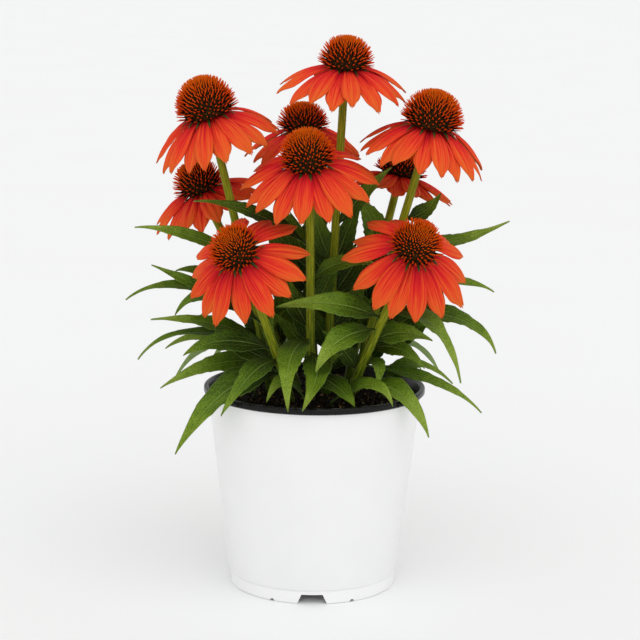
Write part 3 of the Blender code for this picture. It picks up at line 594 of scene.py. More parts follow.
def white_plastic():
    """Polypropylene, injection moulded with a satin white outer face: an even tone, with a
    faint ripple that breaks up its reflections."""
    look, tree = finish("white_moulded_polypropylene", 0.38, 1.49)
    # Moulding ripple is about 30 mm across, scuffs about 1 mm.
    ripple = add(tree, "TexNoise", {"Scale": 33.0, "Detail": 1.0}, {"Vector": look.place})
    scuff = add(tree, "TexNoise", {"Scale": 1000.0, "Detail": 3.0}, {"Vector": look.place})
    colour = add(tree, "ValToRGB", {"stops": ((0.3, "#F5F5F5"), (0.7, "#F7F7F7"))}, {0: ripple})
    gloss = add(tree, "MapRange", {1: 0.3, 2: 0.7, 3: 0.34, 4: 0.44}, {0: scuff})
    bump = add(tree, "Bump", {"Strength": 0.02, "Distance": 0.0005}, {"Height": ripple})
    return wear(look, {"Base Color": colour, "Roughness": gloss, "Normal": bump})


def black_plastic():
    """The same moulding where its black core shows, at the lip and inside: glossier, with
    fine rub marks round the lip."""
    look, tree = finish("black_moulded_polypropylene", 0.26, 1.49, 0.2)
    # Rub marks are near 1.4 mm.
    rub = add(tree, "TexNoise", {"Scale": 700.0, "Detail": 4.0}, {"Vector": look.place})
    colour = add(tree, "ValToRGB", {"stops": ((0.35, "#0A0A09"), (0.7, "#181716"))}, {0: rub})
    gloss = add(tree, "MapRange", {1: 0.3, 2: 0.7, 3: 0.2, 4: 0.34}, {0: rub})
    return wear(look, {"Base Color": colour, "Roughness": gloss})


def damp_peat():
    """Damp peat, loose and crumbly: nearly black, with lighter fibres here and there."""
    look, tree = finish("damp_peat", 0.85, 1.4, 0.2)
    # Crumbs of peat are near 3 mm.
    clods = add(tree, "TexNoise", {"Scale": 350.0, "Detail": 6.0, "Roughness": 0.7},
                {"Vector": look.place})
    colour = add(tree, "ValToRGB", {"stops": (
        (0.35, "#090703"), (0.55, "#171109"), (0.68, "#2E2414"), (0.8, "#66532C"))}, {0: clods})
    bump = add(tree, "Bump", {"Strength": 1.0, "Distance": 0.001}, {"Height": clods})
    return wear(look, {"Base Color": colour, "Normal": bump})


def bark_crumb():
    """Composted bark, broken into crumbs: dark brown, and one in ten a tan fleck."""
    look, tree = finish("composted_bark_crumb", 0.8, 1.4, 0.2)
    # The grain of the bark is near 0.8 mm.
    grain = add(tree, "TexNoise", {"Scale": 1200.0, "Detail": 3.0}, {"Vector": look.place})
    tone = add(tree, "Math MULTIPLY_ADD", {1: 0.16}, {0: grain, 2: look.across})
    colour = add(tree, "ValToRGB", {"stops": (
        (0.0, "#0B0805"), (0.6, "#1D150B"), (0.93, "#382A16"), (1.0, "#8C7444"))}, {0: tone})
    return wear(look, {"Base Color": colour})


def studio_paper():
    """Seamless studio paper, matt and nearly white, with a faint drift of tone."""
    look, tree = finish("seamless_paper", 0.9, 1.45)
    drift = add(tree, "TexNoise", {"Scale": 3.0, "Detail": 2.0}, {"Vector": look.place})
    colour = add(tree, "ValToRGB", {"stops": ((0.3, "#F3F3F3"), (0.7, "#F3F4F4"))}, {0: drift})
    return wear(look, {"Base Color": colour})


def unit(vectors):
    """Vectors scaled to length 1."""
    return vectors / np.linalg.norm(vectors, axis=-1, keepdims=True)


def smooth_outline(stations, t):
    """Values at t on a smooth line through (place, value) stations, without overshoot."""
    x, y = np.array(stations, float).T
    slopes = np.diff(y) / np.diff(x)
    ends = np.concatenate(([slopes[0]], slopes, [slopes[-1]]))
    before, after = ends[:-1], ends[1:]
    tangent = np.where(before * after > 0, 2 * before * after / (before + after + 1e-12), 0)
    i = np.clip(np.searchsorted(x, t, side="right") - 1, 0, len(slopes) - 1)
    span = (x[1:] - x[:-1])[i]
    u = (t - x[i]) / span
    return (y[i] * (1 + 2 * u) * (1 - u) ** 2 + tangent[i] * span * u * (1 - u) ** 2
            + y[i + 1] * u * u * (3 - 2 * u) + tangent[i + 1] * span * u * u * (u - 1))


def curve(controls, t):
    """Points at the shares t of the Bezier curve with these control points."""
    points = [np.tile(np.asarray(c, float), (len(t), 1)) for c in controls]
    share = t[:, None]
    while len(points) > 1:
        points = [a + (b - a) * share for a, b in zip(points, points[1:])]
    return points[0]


def leaning(lean):
    """The upward direction, leant by degrees to the right and towards the viewer."""
    right, forward = np.radians(lean)
    return np.array([math.sin(right), -math.sin(forward) * math.cos(right),
                     math.cos(forward) * math.cos(right)])


def head_turn(bloom):
    """The turn from straight up to the way that a bloom's head faces."""
    turn = Vector((0, 0, 1)).rotation_difference(Vector(leaning(bloom.lean)))
    return np.array(turn.to_matrix()).T


def on_head(points, bloom):
    """Points that are modelled round the origin, turned and moved onto the bloom's head."""
    return points @ head_turn(bloom) + bloom.head


def circle(sides):
    """The angles of points evenly round a circle."""
    return 2 * np.pi * np.arange(sides) / sides


def turned(profile, sides):
    """Rings of points round Z, one for each (radius, height) of a profile."""
    profile = np.array(profile)
    angles = circle(sides)
    return np.stack([profile[:, :1] * np.cos(angles), profile[:, :1] * np.sin(angles),
                     np.repeat(profile[:, 1:], sides, axis=1)], axis=-1)


def tube(rings, across=0.0, along=0.0, chance=0.0, finish_index=0):
    """A closed skin through rings of equal size: points, face lists, growth and finish. Its
    growth is across, along and chance, each one number or one for every point."""
    count, around = rings.shape[:2]
    index = np.arange(count * around).reshape(count, around)
    after = np.roll(index, -1, axis=1)
    sides = np.stack([index[:-1], after[:-1], after[1:], index[1:]], axis=-1).reshape(-1, 4)
    i = np.arange(around // 2 - 1)
    low = np.stack([i + 1, i, around - 1 - i, around - 2 - i], axis=-1)
    high = low[:, ::-1] + (count - 1) * around
    growth = np.stack(np.broadcast_arrays(across, along, chance, rings[..., 0])[:3], axis=-1)
    return rings.reshape(-1, 3), [sides, low, high], growth.reshape(-1, 3), finish_index


def show(name, data):
    """Put a new object with this data into the scene."""
    shown = bpy.data.objects.new(name, data)
    bpy.context.scene.collection.objects.link(shown)
    return shown


def piece(name, shells, finishes, nodes=()):
    """One shown mesh from its shells, riding on the only body there is."""
    points = np.concatenate([shell[0] for shell in shells]) * METRES
    growth = np.concatenate([shell[2] for shell in shells])
    corners, sizes, kinds = [], [], []
    start = 0
    for shell in shells:
        for faces in shell[1]:
            if len(faces):
                corners.append((faces + start).ravel())
                sizes.append(np.full(len(faces), faces.shape[1]))
                kinds.append(np.full(len(faces), shell[3]))
        start += len(shell[0])
    corners, sizes, kinds = (np.concatenate(part) for part in (corners, sizes, kinds))
    mesh = bpy.data.meshes.new(name)
    mesh.vertices.add(len(points))
    mesh.vertices.foreach_set("co", points.ravel())
    mesh.loops.add(len(corners))
    mesh.loops.foreach_set("vertex_index", corners)
    mesh.polygons.add(len(sizes))
    mesh.polygons.foreach_set("loop_start", np.concatenate(([0], np.cumsum(sizes)[:-1])))
    mesh.polygons.foreach_set("material_index", kinds)
    mesh.update(calc_edges=True)
    mesh.validate()
    mesh.attributes.new("growth", "FLOAT_VECTOR", "POINT")
    mesh.attributes["growth"].data.foreach_set("vector", growth.ravel())
    mesh.shade_smooth()
    for material in finishes:
        mesh.materials.append(material)
    shown = show(name, mesh)
    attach(shown, "root")
    if nodes:
        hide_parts(*nodes)
    return shown


def stem_controls(bloom):
    """Control points of a stem's curve, from just above the soil to the head."""
    head = np.array(bloom.head)
    foot = np.array([*bloom.foot, SOIL_TOP + 2])
    reach = np.linalg.norm(head - foot)
    return [foot, foot + [0, 0, FOOT_RISE * reach],
            head - leaning(bloom.lean) * HEAD_REACH * reach, head]


def stem_point(bloom, height):
    """The point on a stem's centre line at a height."""
    line = curve(stem_controls(bloom), np.linspace(0, 1, 400))
    return line[np.argmin(abs(line[:, 2] - height))]


def stem_radius(along):
    """The radius of a stem at a share of its length."""
    return STEM_RADIUS_FOOT + (STEM_RADIUS_HEAD - STEM_RADIUS_FOOT) * along


def frames(line):
    """The directions to the side, up and ahead at each point of a line, without twist."""
    ahead = unit(np.gradient(line, axis=0))
    side = unit(np.cross(ahead, [0.0, 1.0, 0.0]))
    return side, np.cross(ahead, side), ahead


def rolled(side, up, degrees, share):
    """Side and up directions, rolled about their line by a share of some degrees."""
    angle = np.radians(degrees) * share[:, None]
    return side * np.cos(angle) + up * np.sin(angle), up * np.cos(angle) - side * np.sin(angle)


def beside(line, side, up, x, y):
    """Rings of points at x to the side of each point of a line and y above it."""
    return line[:, None] + side[:, None] * x[..., None] + up[:, None] * y[..., None]


def stem_shell(bloom):
    """The ribbed stem, from its root in the soil to the cup that carries the petals."""
    t = np.linspace(0, 1, STEM_RINGS)
    root = np.array([[*bloom.foot, SOIL_TOP - depth] for depth in ROOT_DEPTHS])
    line = np.concatenate([root, curve(stem_controls(bloom), t)])
    along = np.concatenate([np.zeros(len(ROOT_DEPTHS)), t])
    side, up, _ = frames(line)
    angles = circle(4 * STEM_RIBS)
    radius = stem_radius(along) + FOOT_SWELL * np.exp(-((along - 0.02) / 0.03) ** 2)
    ribbed = radius[:, None] * (1 + RIB_DEPTH * np.cos(STEM_RIBS * angles))
    rings = beside(line, side, up, ribbed * np.cos(angles), ribbed * np.sin(angles))
    return tube(rings, angles / (2 * np.pi), along[:, None])


def cup_shell(bloom):
    """The green cup under the petals, flaring out of the top of the stem."""
    return tube(on_head(turned(CUP_PROFILE, CUP_SIDES), bloom), along=0.3, finish_index=1)


def blades(roots, outward, up, length, width, droop, finish_index):
    """Many narrow pointed bracts at once: each arches from its root along outward."""
    share = np.array(BRACT_OUTLINE)
    t = np.linspace(0, 1, len(share))
    side = np.cross(outward, up)
    thick = BRACT_THICKNESS * (1 - 0.6 * t)[:, None]
    shells = []
    for i in range(len(roots)):
        fall = droop[i] * t ** 2
        centre = (roots[i] + outward[i] * (length[i] * t)[:, None]
                  - up[i] * (length[i] * fall)[:, None])
        half = (share * width[i] / 2)[:, None]
        rings = np.stack([centre + side[i] * half, centre + up[i] * (thick + 0.15 * half),
                          centre - side[i] * half, centre - up[i] * thick], axis=1)
        shells.append(tube(rings, along=t[:, None], finish_index=finish_index))
    return shells


def ring_of_bracts(bloom, draw, row, finish_index):
    """A ring of bracts round the head, each with its own length and lean."""
    count, radius, height, length, width, slope, droop = row
    angles = 2 * np.pi * (np.arange(count) + draw.uniform(-0.25, 0.25, count)) / count
    out = np.stack([np.cos(angles), np.sin(angles), np.zeros(count)], axis=-1)
    roots = out * radius + [0, 0, height]
    tilt = np.radians(slope + draw.uniform(-9, 9, count))[:, None]
    outward = out * np.cos(tilt) + np.array([0, 0, 1]) * np.sin(tilt)
    up = -out * np.sin(tilt) + np.array([0, 0, 1]) * np.cos(tilt)
    turn = head_turn(bloom)
    return blades(on_head(roots, bloom), outward @ turn, up @ turn,
                  length * draw.uniform(0.75, 1.1, count), width * draw.uniform(0.85, 1.15, count),
                  droop * draw.uniform(0.6, 1.3, count), finish_index)


def spines(roots, direction, length, radius, stations, sides, values, finish_index):
    """Many pointed spines at once. Stations are shares of length and of radius. Their growth
    is the share of the length and two values."""
    helper = np.where(abs(direction[:, 2:]) < 0.8, [[0.0, 0.0, 1.0]], [[1.0, 0.0, 0.0]])
    side = unit(np.cross(direction, helper))
    up = np.cross(direction, side)
    angles = circle(sides)[:, None]
    points, shares = [], []
    for share, thick in stations:
        centre = roots + direction * (length * share)[:, None]
        reach = (radius * thick)[:, None, None]
        points.append(centre[:, None] + side[:, None] * reach * np.cos(angles)
                      + up[:, None] * reach * np.sin(angles))
        shares += [share] * sides
    points = np.concatenate([*points, (roots + direction * length[:, None])[:, None]], axis=1)
    growth = np.zeros(points.shape)
    growth[..., 0] = [*shares, 1]
    growth[..., 1:] = values[:, None]
    size = points.shape[1]
    offset = (np.arange(len(roots)) * size)[:, None, None]
    last = (len(stations) - 1) * sides
    i = np.arange(sides)
    j = (i + 1) % sides
    ring = np.stack([i, j, j + sides, i + sides], axis=-1)
    level = (np.arange(len(stations) - 1) * sides)[:, None, None]
    quads = ((ring + level).reshape(-1, 4) + offset).reshape(-1, 4)
    caps = (np.stack([i + last, j + last, np.full(sides, size - 1)], axis=-1) + offset).reshape(-1, 3)
    foot = (i[::-1] + offset).reshape(-1, sides)
    return points.reshape(-1, 3), [quads, caps, foot], growth.reshape(-1, 3), finish_index


def bristle_shell(bloom, draw):
    """Bristles that stand out of the stem, most of them leaning a little downwards."""
    t = draw.uniform(0.02, 0.97, BRISTLES)
    line = curve(stem_controls(bloom), np.linspace(0, 1, BRISTLE_PLACES))
    side, up, ahead = frames(line)
    at = (t * (BRISTLE_PLACES - 1)).astype(int)
    angle = draw.uniform(0, 2 * np.pi, BRISTLES)[:, None]
    out = side[at] * np.cos(angle) + up[at] * np.sin(angle)
    roots = line[at] + out * (stem_radius(t) - BRISTLE_SUNK)[:, None]
    direction = unit(out - ahead[at] * draw.uniform(-0.1, 0.5, BRISTLES)[:, None])
    length = BRISTLE_LENGTH * draw.uniform(0.6, 1.25, BRISTLES)
    return spines(roots, direction, length, np.full(BRISTLES, BRISTLE_RADIUS), ((0, 1),), 3,
                  np.zeros((BRISTLES, 2)), 2)


def thin_blade(top, low, across, along, chance):
    """The skin of a thin blade between its two faces. Its chance is negative underneath."""
    rings = np.concatenate([low, top[:, ::-1]], axis=1)
    chances = np.repeat([-chance, chance], len(across))
    return tube(rings, np.concatenate([across, across[::-1]]), along[:, None], chances)


def leaf_margin(t, draw):
    """How far the teeth of one edge stand out, as shares of half the blade's width."""
    margin = np.zeros(len(t))
    for tooth in LEAF_TEETH:
        place = tooth + draw.uniform(-TOOTH_SHIFT, TOOTH_SHIFT)
        rise = np.clip((t - place) / TOOTH_RISE + 1, 0, 1) ** 1.5
        fall = np.clip(1 - (t - place) / TOOTH_FALL, 0, 1)
        margin = np.maximum(margin, rise * fall * draw.uniform(*TOOTH_DEPTHS))
    return margin


def leaf_shell(base, through, tip, width, face, draw, light=1.0, steps=LEAF_STEPS):
    """One leaf: a grooved stalk, then a folded blade with coarse teeth, sunk veins, a waved
    edge and a long point. A low light paints shade into it: its colour is made darker."""
    base, through, tip = (np.array(point, float) for point in (base, through, tip))
    t = np.linspace(0, 1, steps)
    line = curve([base, 2 * through - (base + tip) / 2, tip], t)
    ahead = unit(np.gradient(line, axis=0))
    side = unit(np.cross(leaning(face), ahead))
    twist = draw.uniform(-LEAF_TWIST, LEAF_TWIST)
    side, up = rolled(side, np.cross(ahead, side), twist, np.clip(t - 0.3, 0, 1))
    across = np.array(LEAF_LANES)
    across = np.concatenate([-across[::-1], across[1:]])
    half = smooth_outline(LEAF_OUTLINE, t) * width / 2
    left, right = (half * leaf_margin(t, draw) + half for _ in range(2))
    reach = across * np.where(across < 0, left[:, None], right[:, None])
    blade = np.clip(t / BLADE_START, 0, 1)[:, None]
    wide = abs(across)
    half = half[:, None]
    height = LEAF_FOLD * half * wide ** 1.2 + EDGE_LIFT * wide ** 1.3 * blade - MIDRIB_SINK * blade
    for start, end, swell in LEAF_PUFFS:
        puff = swell * np.sin(np.pi * np.clip((wide - start) / (end - start), 0, 1))
        height = height + puff * blade * np.clip(half / 8, 0, 1)
    waves = t[:, None] * draw.uniform(*LEAF_WAVES) + np.sign(across) * 0.2 + draw.uniform(0, 1)
    height = height + LEAF_WAVE * np.sin(2 * np.pi * waves) * wide ** 2 * half * blade
    thick = (LEAF_THICKNESS / 2 + STALK_SWELL * (1 - blade)) * (1 - LEAF_EDGE * wide ** 6)
    rib = np.interp(t, (0, 1), RIB_HEIGHTS)[:, None] * np.exp(-(across * half / RIB_WIDTH) ** 2)
    top = beside(line, side, up, reach, height + thick)
    low = beside(line, side, up, reach, height - thick - rib * blade)
    return thin_blade(top, low, across, t, draw.uniform(0.05, 1.0) * light)


def petal_shell(bloom, angle, length, width, droop, layer, draw):
    """One petal on a bloom's head: a narrow root, two grooves that end in teeth at its tip,
    and edges that curl under."""
    along = np.linspace(0, 1, PETAL_STEPS)
    across = np.linspace(-1, 1, PETAL_LANES)
    root, end = np.radians(droop)
    slope = root + (end - root) * along
    radius = length * (np.sin(slope) - math.sin(root)) / (end - root)
    drop = length * (math.cos(root) - np.cos(slope)) / (end - root)
    azimuth = math.radians(angle)
    outward = np.array([math.cos(azimuth), math.sin(azimuth), 0.0])
    sideways = np.array([-math.sin(azimuth), math.cos(azimuth), 0.0])
    sway = draw.uniform(-PETAL_SWAY, PETAL_SWAY) * length * along ** 2
    line = outward * (PETAL_ROOT_RADIUS + radius)[:, None] + sideways * sway[:, None]
    line[:, 2] += PETAL_BED - drop
    ahead = unit(np.gradient(line, axis=0))
    side = unit(sideways - ahead * (ahead @ sideways)[:, None])
    side, up = rolled(side, np.cross(ahead, side), draw.uniform(-PETAL_ROLL, PETAL_ROLL), along)
    share = smooth_outline(PETAL_OUTLINE, along)[:, None]
    lobes = np.cos(3 * np.pi * across)
    depth = PETAL_PLEAT * draw.uniform(0.7, 1.2)
    pleat = depth * lobes * np.minimum(1, along * 4)[:, None] * (0.5 + 0.5 * share)
    arch = PETAL_ARCH * draw.uniform(0.75, 1.15) * share ** 2 * across ** 2
    lift = 0.35 + layer * (0.4 + 0.6 * np.minimum(1, along / 0.3))[:, None]
    flare = np.sin(2 * np.pi * (along * draw.uniform(1.0, 1.9) + draw.uniform(0, 1)))[:, None]
    height = lift - arch + pleat + PETAL_FLARE * flare * across ** 2 * share
    teeth = draw.uniform(0.5, 1.3) * (1 - lobes) / 2 * TIP_GROOVE + TIP_EDGE * across ** 2
    teeth = teeth + TIP_RAGGED * draw.uniform(0, 1, len(across))
    short = teeth * np.clip((along - TIP_START) / (1 - TIP_START), 0, 1)[:, None] ** 1.5
    thick = PETAL_THICKNESS / 2 * (1 - PETAL_EDGE * across ** 6)
    flat = (line[:, None] - ahead[:, None] * (length * short)[..., None]
            + side[:, None] * (across * share * width / 2)[..., None])
    top, low = (on_head(flat + up[:, None] * rise[..., None], bloom)
                for rise in (height + thick, height - thick))
    return thin_blade(top, low, across, along, draw.uniform(0.02, 1.0))


def make_petals(bloom, petal_finish, disc_finish):
    """One whorl of petals on its disc, each placed and sized as in its solid."""
    as_built = random.Random(100 + bloom.number)
    draw = np.random.default_rng(200 + bloom.number)
    shells = [tube(on_head(turned(PETAL_DISC, DISC_SIDES), bloom), finish_index=1)]
    for i, angle in enumerate(bloom.angles):
        length = bloom.petal * as_built.uniform(*PETAL_SIZES)
        layer = PETAL_LAYERS[i % 2]
        nod = as_built.uniform(-PETAL_NOD, PETAL_NOD) - 2 * layer
        width = PETAL_WIDTH * as_built.uniform(*PETAL_SIZES)
        droop = (bloom.droop[0], bloom.droop[1] + nod)
        shells.append(petal_shell(bloom, angle, length, width, droop, layer, draw))
    piece(f"petals_{bloom.number}", shells, [petal_finish, disc_finish],
          [f"ray_petals_{bloom.number}"])


def cone_surface(radius, height, tilt):
    """A cone's dome at angles from its top, as (radius, height), and the way square to it."""
    rise = (height - CONE_BASE - SPIKE_TOP) / (1 - math.cos(CONE_TUCK))
    centre = CONE_BASE - rise * math.cos(CONE_TUCK)
    dome = np.stack([radius * np.sin(tilt), centre + rise * np.cos(tilt)], axis=-1)
    square = unit(np.stack([np.sin(tilt) / radius, np.cos(tilt) / rise], axis=-1))
    return dome, square


def make_cone(bloom, core_finish, spine_finish, bract_finish):
    """One seed cone: a dark domed core, spines set on it in a sunflower spiral, and narrow
    green bracts that lie on the petal roots."""
    width, height = bloom.cone
    core_radius = width / 2 - SPIKE_SIDE * CORE_INSET
    draw = np.random.default_rng(300 + bloom.number)
    dome = cone_surface(core_radius, height, np.linspace(0.02, CONE_TUCK, CORE_RINGS))[0]
    core = tube(on_head(turned(dome[::-1], CORE_SIDES), bloom))
    # How many spines fit between the top of the cone and each angle, by their spacing.
    fine = np.linspace(0, CONE_TUCK, 600)
    section = cone_surface(core_radius, height, fine)[0]
    steps = np.linalg.norm(np.diff(section, axis=0), axis=1)
    gap = np.interp(fine, CONE_ANGLES, SPINE_SPACINGS)
    density = 2 * np.pi * section[:, 0] / (SPINE_PACKING * gap ** 2)
    total = np.concatenate(([0], np.cumsum((density[1:] + density[:-1]) / 2 * steps)))
    count = int(total[-1])
    tilt = np.interp(np.arange(count) + 0.5, total, fine)
    turn = np.arange(count) * GOLDEN_ANGLE + draw.uniform(-0.03, 0.03, count)
    out = np.stack([np.cos(turn), np.sin(turn), np.zeros(count)], axis=-1)
    section, square = cone_surface(core_radius, height, tilt)
    roots = out * section[:, :1] + [0, 0, 1] * section[:, 1:]
    normal = out * square[:, :1] + [0, 0, 1] * square[:, 1:]
    uphill = unit(np.array([0, 0, 1]) - normal * normal[:, 2:])
    rising = np.tan(np.radians(np.interp(tilt, CONE_ANGLES, SPINE_RISES)))[:, None]
    direction = unit(normal + uphill * rising + draw.normal(0, SPINE_SCATTER, (count, 3)))
    length = np.interp(tilt, CONE_ANGLES, SPINE_LENGTHS) * draw.uniform(0.86, 1.06, count)
    values = np.stack([1 - tilt / CONE_TUCK, draw.uniform(-1, 1, count)], axis=-1)
    radius = np.interp(tilt, CONE_ANGLES, SPINE_RADII) * draw.uniform(0.85, 1.15, count)
    thorns = spines(on_head(roots - normal * SPINE_SUNK, bloom), direction @ head_turn(bloom),
                    length + SPINE_SUNK, radius, SPINE_STATIONS, SPINE_SIDES, values, 1)
    number, inset, rise, *shape = CONE_BRACTS
    row = (number, core_radius + inset, CONE_BASE + rise, *shape)
    bracts = ring_of_bracts(bloom, draw, row, 2)
    piece(f"cone_{bloom.number}", [core, thorns, *bracts],
          [core_finish, spine_finish, bract_finish], [f"seed_cone_{bloom.number}"])


def make_stem(bloom, stem_finish, bract_finish, bristle_finish, leaf_finish):
    """One flower stem with its cup, bracts and bristles, and its leaves as a piece."""
    draw = np.random.default_rng(400 + bloom.number)
    shells = [stem_shell(bloom), cup_shell(bloom), bristle_shell(bloom, draw)]
    for row in CUP_BRACTS:
        shells += ring_of_bracts(bloom, draw, row, 1)
    piece(f"stem_{bloom.number}", shells, [stem_finish, bract_finish, bristle_finish],
          [f"flower_stem_{bloom.number}"])
    leaves = []
    # The inner leaves get a low light, which darkens their colour as painted shade.
    for rows, light, steps in ((STEM_LEAVES, 1.0, LEAF_STEPS),
                               (INNER_LEAVES, INNER_LEAF_PAINTED_LIGHT, INNER_LEAF_STEPS)):
        for owner, height, through, tip, width, face in rows:
            if owner == bloom.number:
                base = stem_point(bloom, height)
                leaves.append(leaf_shell(base, through, tip, width, face, draw, light, steps))
    piece(f"stem_{bloom.number}_leaves", leaves, [leaf_finish])


def make_tuft(number, place, leaf_finish):
    """One basal crown: a short stub in the soil and the leaves that rise from it."""
    draw = np.random.default_rng(500 + number)
    rings = turned(CROWN_PROFILE, CROWN_SIDES) + [*place, SOIL_TOP]
    shells = [tube(rings, *CROWN_GROWTH)]
    base = (*place, SOIL_TOP + CROWN_PROFILE[-1][1])
    for owner, through, tip, width, face in CROWN_LEAVES:
        if owner == number:
            shells.append(leaf_shell(base, through, tip, width, face, draw))
    piece(f"tuft_{number}", shells, [leaf_finish],
          [f"leaf_tuft_{number}"])


def cutter(rings, name):
    """A closed prism between two rings, for cutting the pot. It isn't put into the scene."""
    count = len(rings[0])
    points = [Vector(point) * METRES for ring in rings for point in ring]
    faces = [tuple(range(count))[::-1], tuple(range(count, 2 * count))]
    for i in range(count):
        j = (i + 1) % count
        faces.append((i, j, count + j, count + i))
    mesh = bpy.data.meshes.new(name)
    mesh.from_pydata(points, [], faces)
    return bpy.data.objects.new(name, mesh)


def foot_cutters():
    """The wide notches and small scallops under the foot ring, and the drain holes."""
    shapes = []
    near, far = FOOT_RADIUS - 2 * FOOT_RING_WIDTH, FOOT_RADIUS + FOOT_RING_WIDTH
    top, bottom, height = NOTCH
    notch = [(-bottom / 2, -1), (bottom / 2, -1), (top / 2, height), (-top / 2, height)]
    ring = [(math.cos(a), math.sin(a)) for a in circle(16)]
    scallop = [(SCALLOP_RADIUS * x, SCALLOP_RADIUS * z) for x, z in ring]
    drains = []
    for angle in NOTCH_ANGLES:
        for turn, outline in ((0, notch), (-SCALLOP_OFFSET, scallop), (SCALLOP_OFFSET, scallop)):
            a = math.radians(angle + turn)
            out, side = Vector((math.cos(a), math.sin(a), 0)), Vector((-math.sin(a), math.cos(a), 0))
            rings = [[out * r + side * x + Vector((0, 0, z)) for x, z in outline]
                     for r in (near, far)]
            shapes.append(cutter(rings, "foot_cutter"))
        a = math.radians(angle)
        drains.append((DRAIN_CIRCLE * math.cos(a), DRAIN_CIRCLE * math.sin(a)))
    for x, y in (*drains, (0, 0)):
        rings = [[(x + DRAIN_RADIUS * c, y + DRAIN_RADIUS * s, z) for c, s in ring]
                 for z in (FLOOR_UNDERSIDE - 2, FLOOR_TOP + 2)]
        shapes.append(cutter(rings, "drain_cutter"))
    return shapes


def quarter_bend(radius, height, bend, start, steps):
    """Points of a profile on a quarter round, from a starting angle."""
    angles = np.radians(start) + np.linspace(0, math.pi / 2, steps)
    return [(radius - bend + bend * math.cos(a), height + bend * math.sin(a)) for a in angles]


def make_pot(white, black):
    """The pot: white outside, black at the rolled lip and inside."""
    inner = LEDGE_RADIUS - WALL_THICKNESS
    ring = FOOT_RADIUS - FOOT_RING_WIDTH
    profile = [
        (0.01, FLOOR_UNDERSIDE), (ring, FLOOR_UNDERSIDE), (ring, 0),
        *quarter_bend(FOOT_RADIUS, FOOT_BEND, FOOT_BEND, -90, 5),
        (FOOT_RADIUS, LEDGE_HEIGHT - 2.2), (FOOT_RADIUS - 0.3, LEDGE_HEIGHT - 1.8),
        (FOOT_RADIUS - 0.4, LEDGE_HEIGHT - 0.9), (LEDGE_RADIUS - 0.5, LEDGE_HEIGHT - 0.5),
        (LEDGE_RADIUS, LEDGE_HEIGHT + 0.3),
        (WALL_TOP_RADIUS - 0.2, LIP_UNDERSIDE - 1.2), (WALL_TOP_RADIUS + 0.1, LIP_UNDERSIDE - 0.1),
        (WALL_TOP_RADIUS + 0.9, LIP_UNDERSIDE), (LIP_RADIUS - 0.7, LIP_UNDERSIDE + 0.15),
        (LIP_RADIUS, LIP_UNDERSIDE + 0.9),
        *quarter_bend(LIP_RADIUS, POT_HEIGHT - LIP_BEND, LIP_BEND, 0, 7),
        (WALL_TOP_RADIUS + 0.4, POT_HEIGHT), (WALL_TOP_RADIUS - 0.7, POT_HEIGHT - 0.35),
        (WALL_TOP_RADIUS - WALL_THICKNESS, POT_HEIGHT - 1.5),
        (inner, LEDGE_HEIGHT + 2.2), (inner - 1.5, FLOOR_TOP), (0.01, FLOOR_TOP),
    ]
    shell = tube(turned(profile, POT_SIDES))
    pot = piece("pot_shell", [shell], [white, black], ["pot"])
    cutters = bpy.data.collections.new("foot_cutters")
    for shape in foot_cutters():
        cutters.objects.link(shape)
    boolean = pot.modifiers.new("foot", "BOOLEAN")
    boolean.operation = "DIFFERENCE"
    boolean.operand_type = "COLLECTION"
    boolean.collection = cutters
    graph = bpy.context.evaluated_depsgraph_get()
    pot.data = bpy.data.meshes.new_from_object(pot.evaluated_get(graph))
    pot.modifiers.clear()
    for shape in list(cutters.objects):
        bpy.data.objects.remove(shape)
    bpy.data.collections.remove(cutters)
    lip = (LIP_UNDERSIDE - 0.15) * METRES
    floor = FLOOR_TOP * METRES
    for face in pot.data.polygons:
        x, y, z = face.center
        inside = x * face.normal.x + y * face.normal.y < 0 and z > floor
        on_floor = abs(z - floor) < 1e-5 and math.hypot(x, y) < LEDGE_RADIUS * METRES
        face.material_index = 1 if z > lip or inside or on_floor else 0
    pot.data.shade_smooth()
    pot.data.set_sharp_from_angle(angle=math.radians(35))


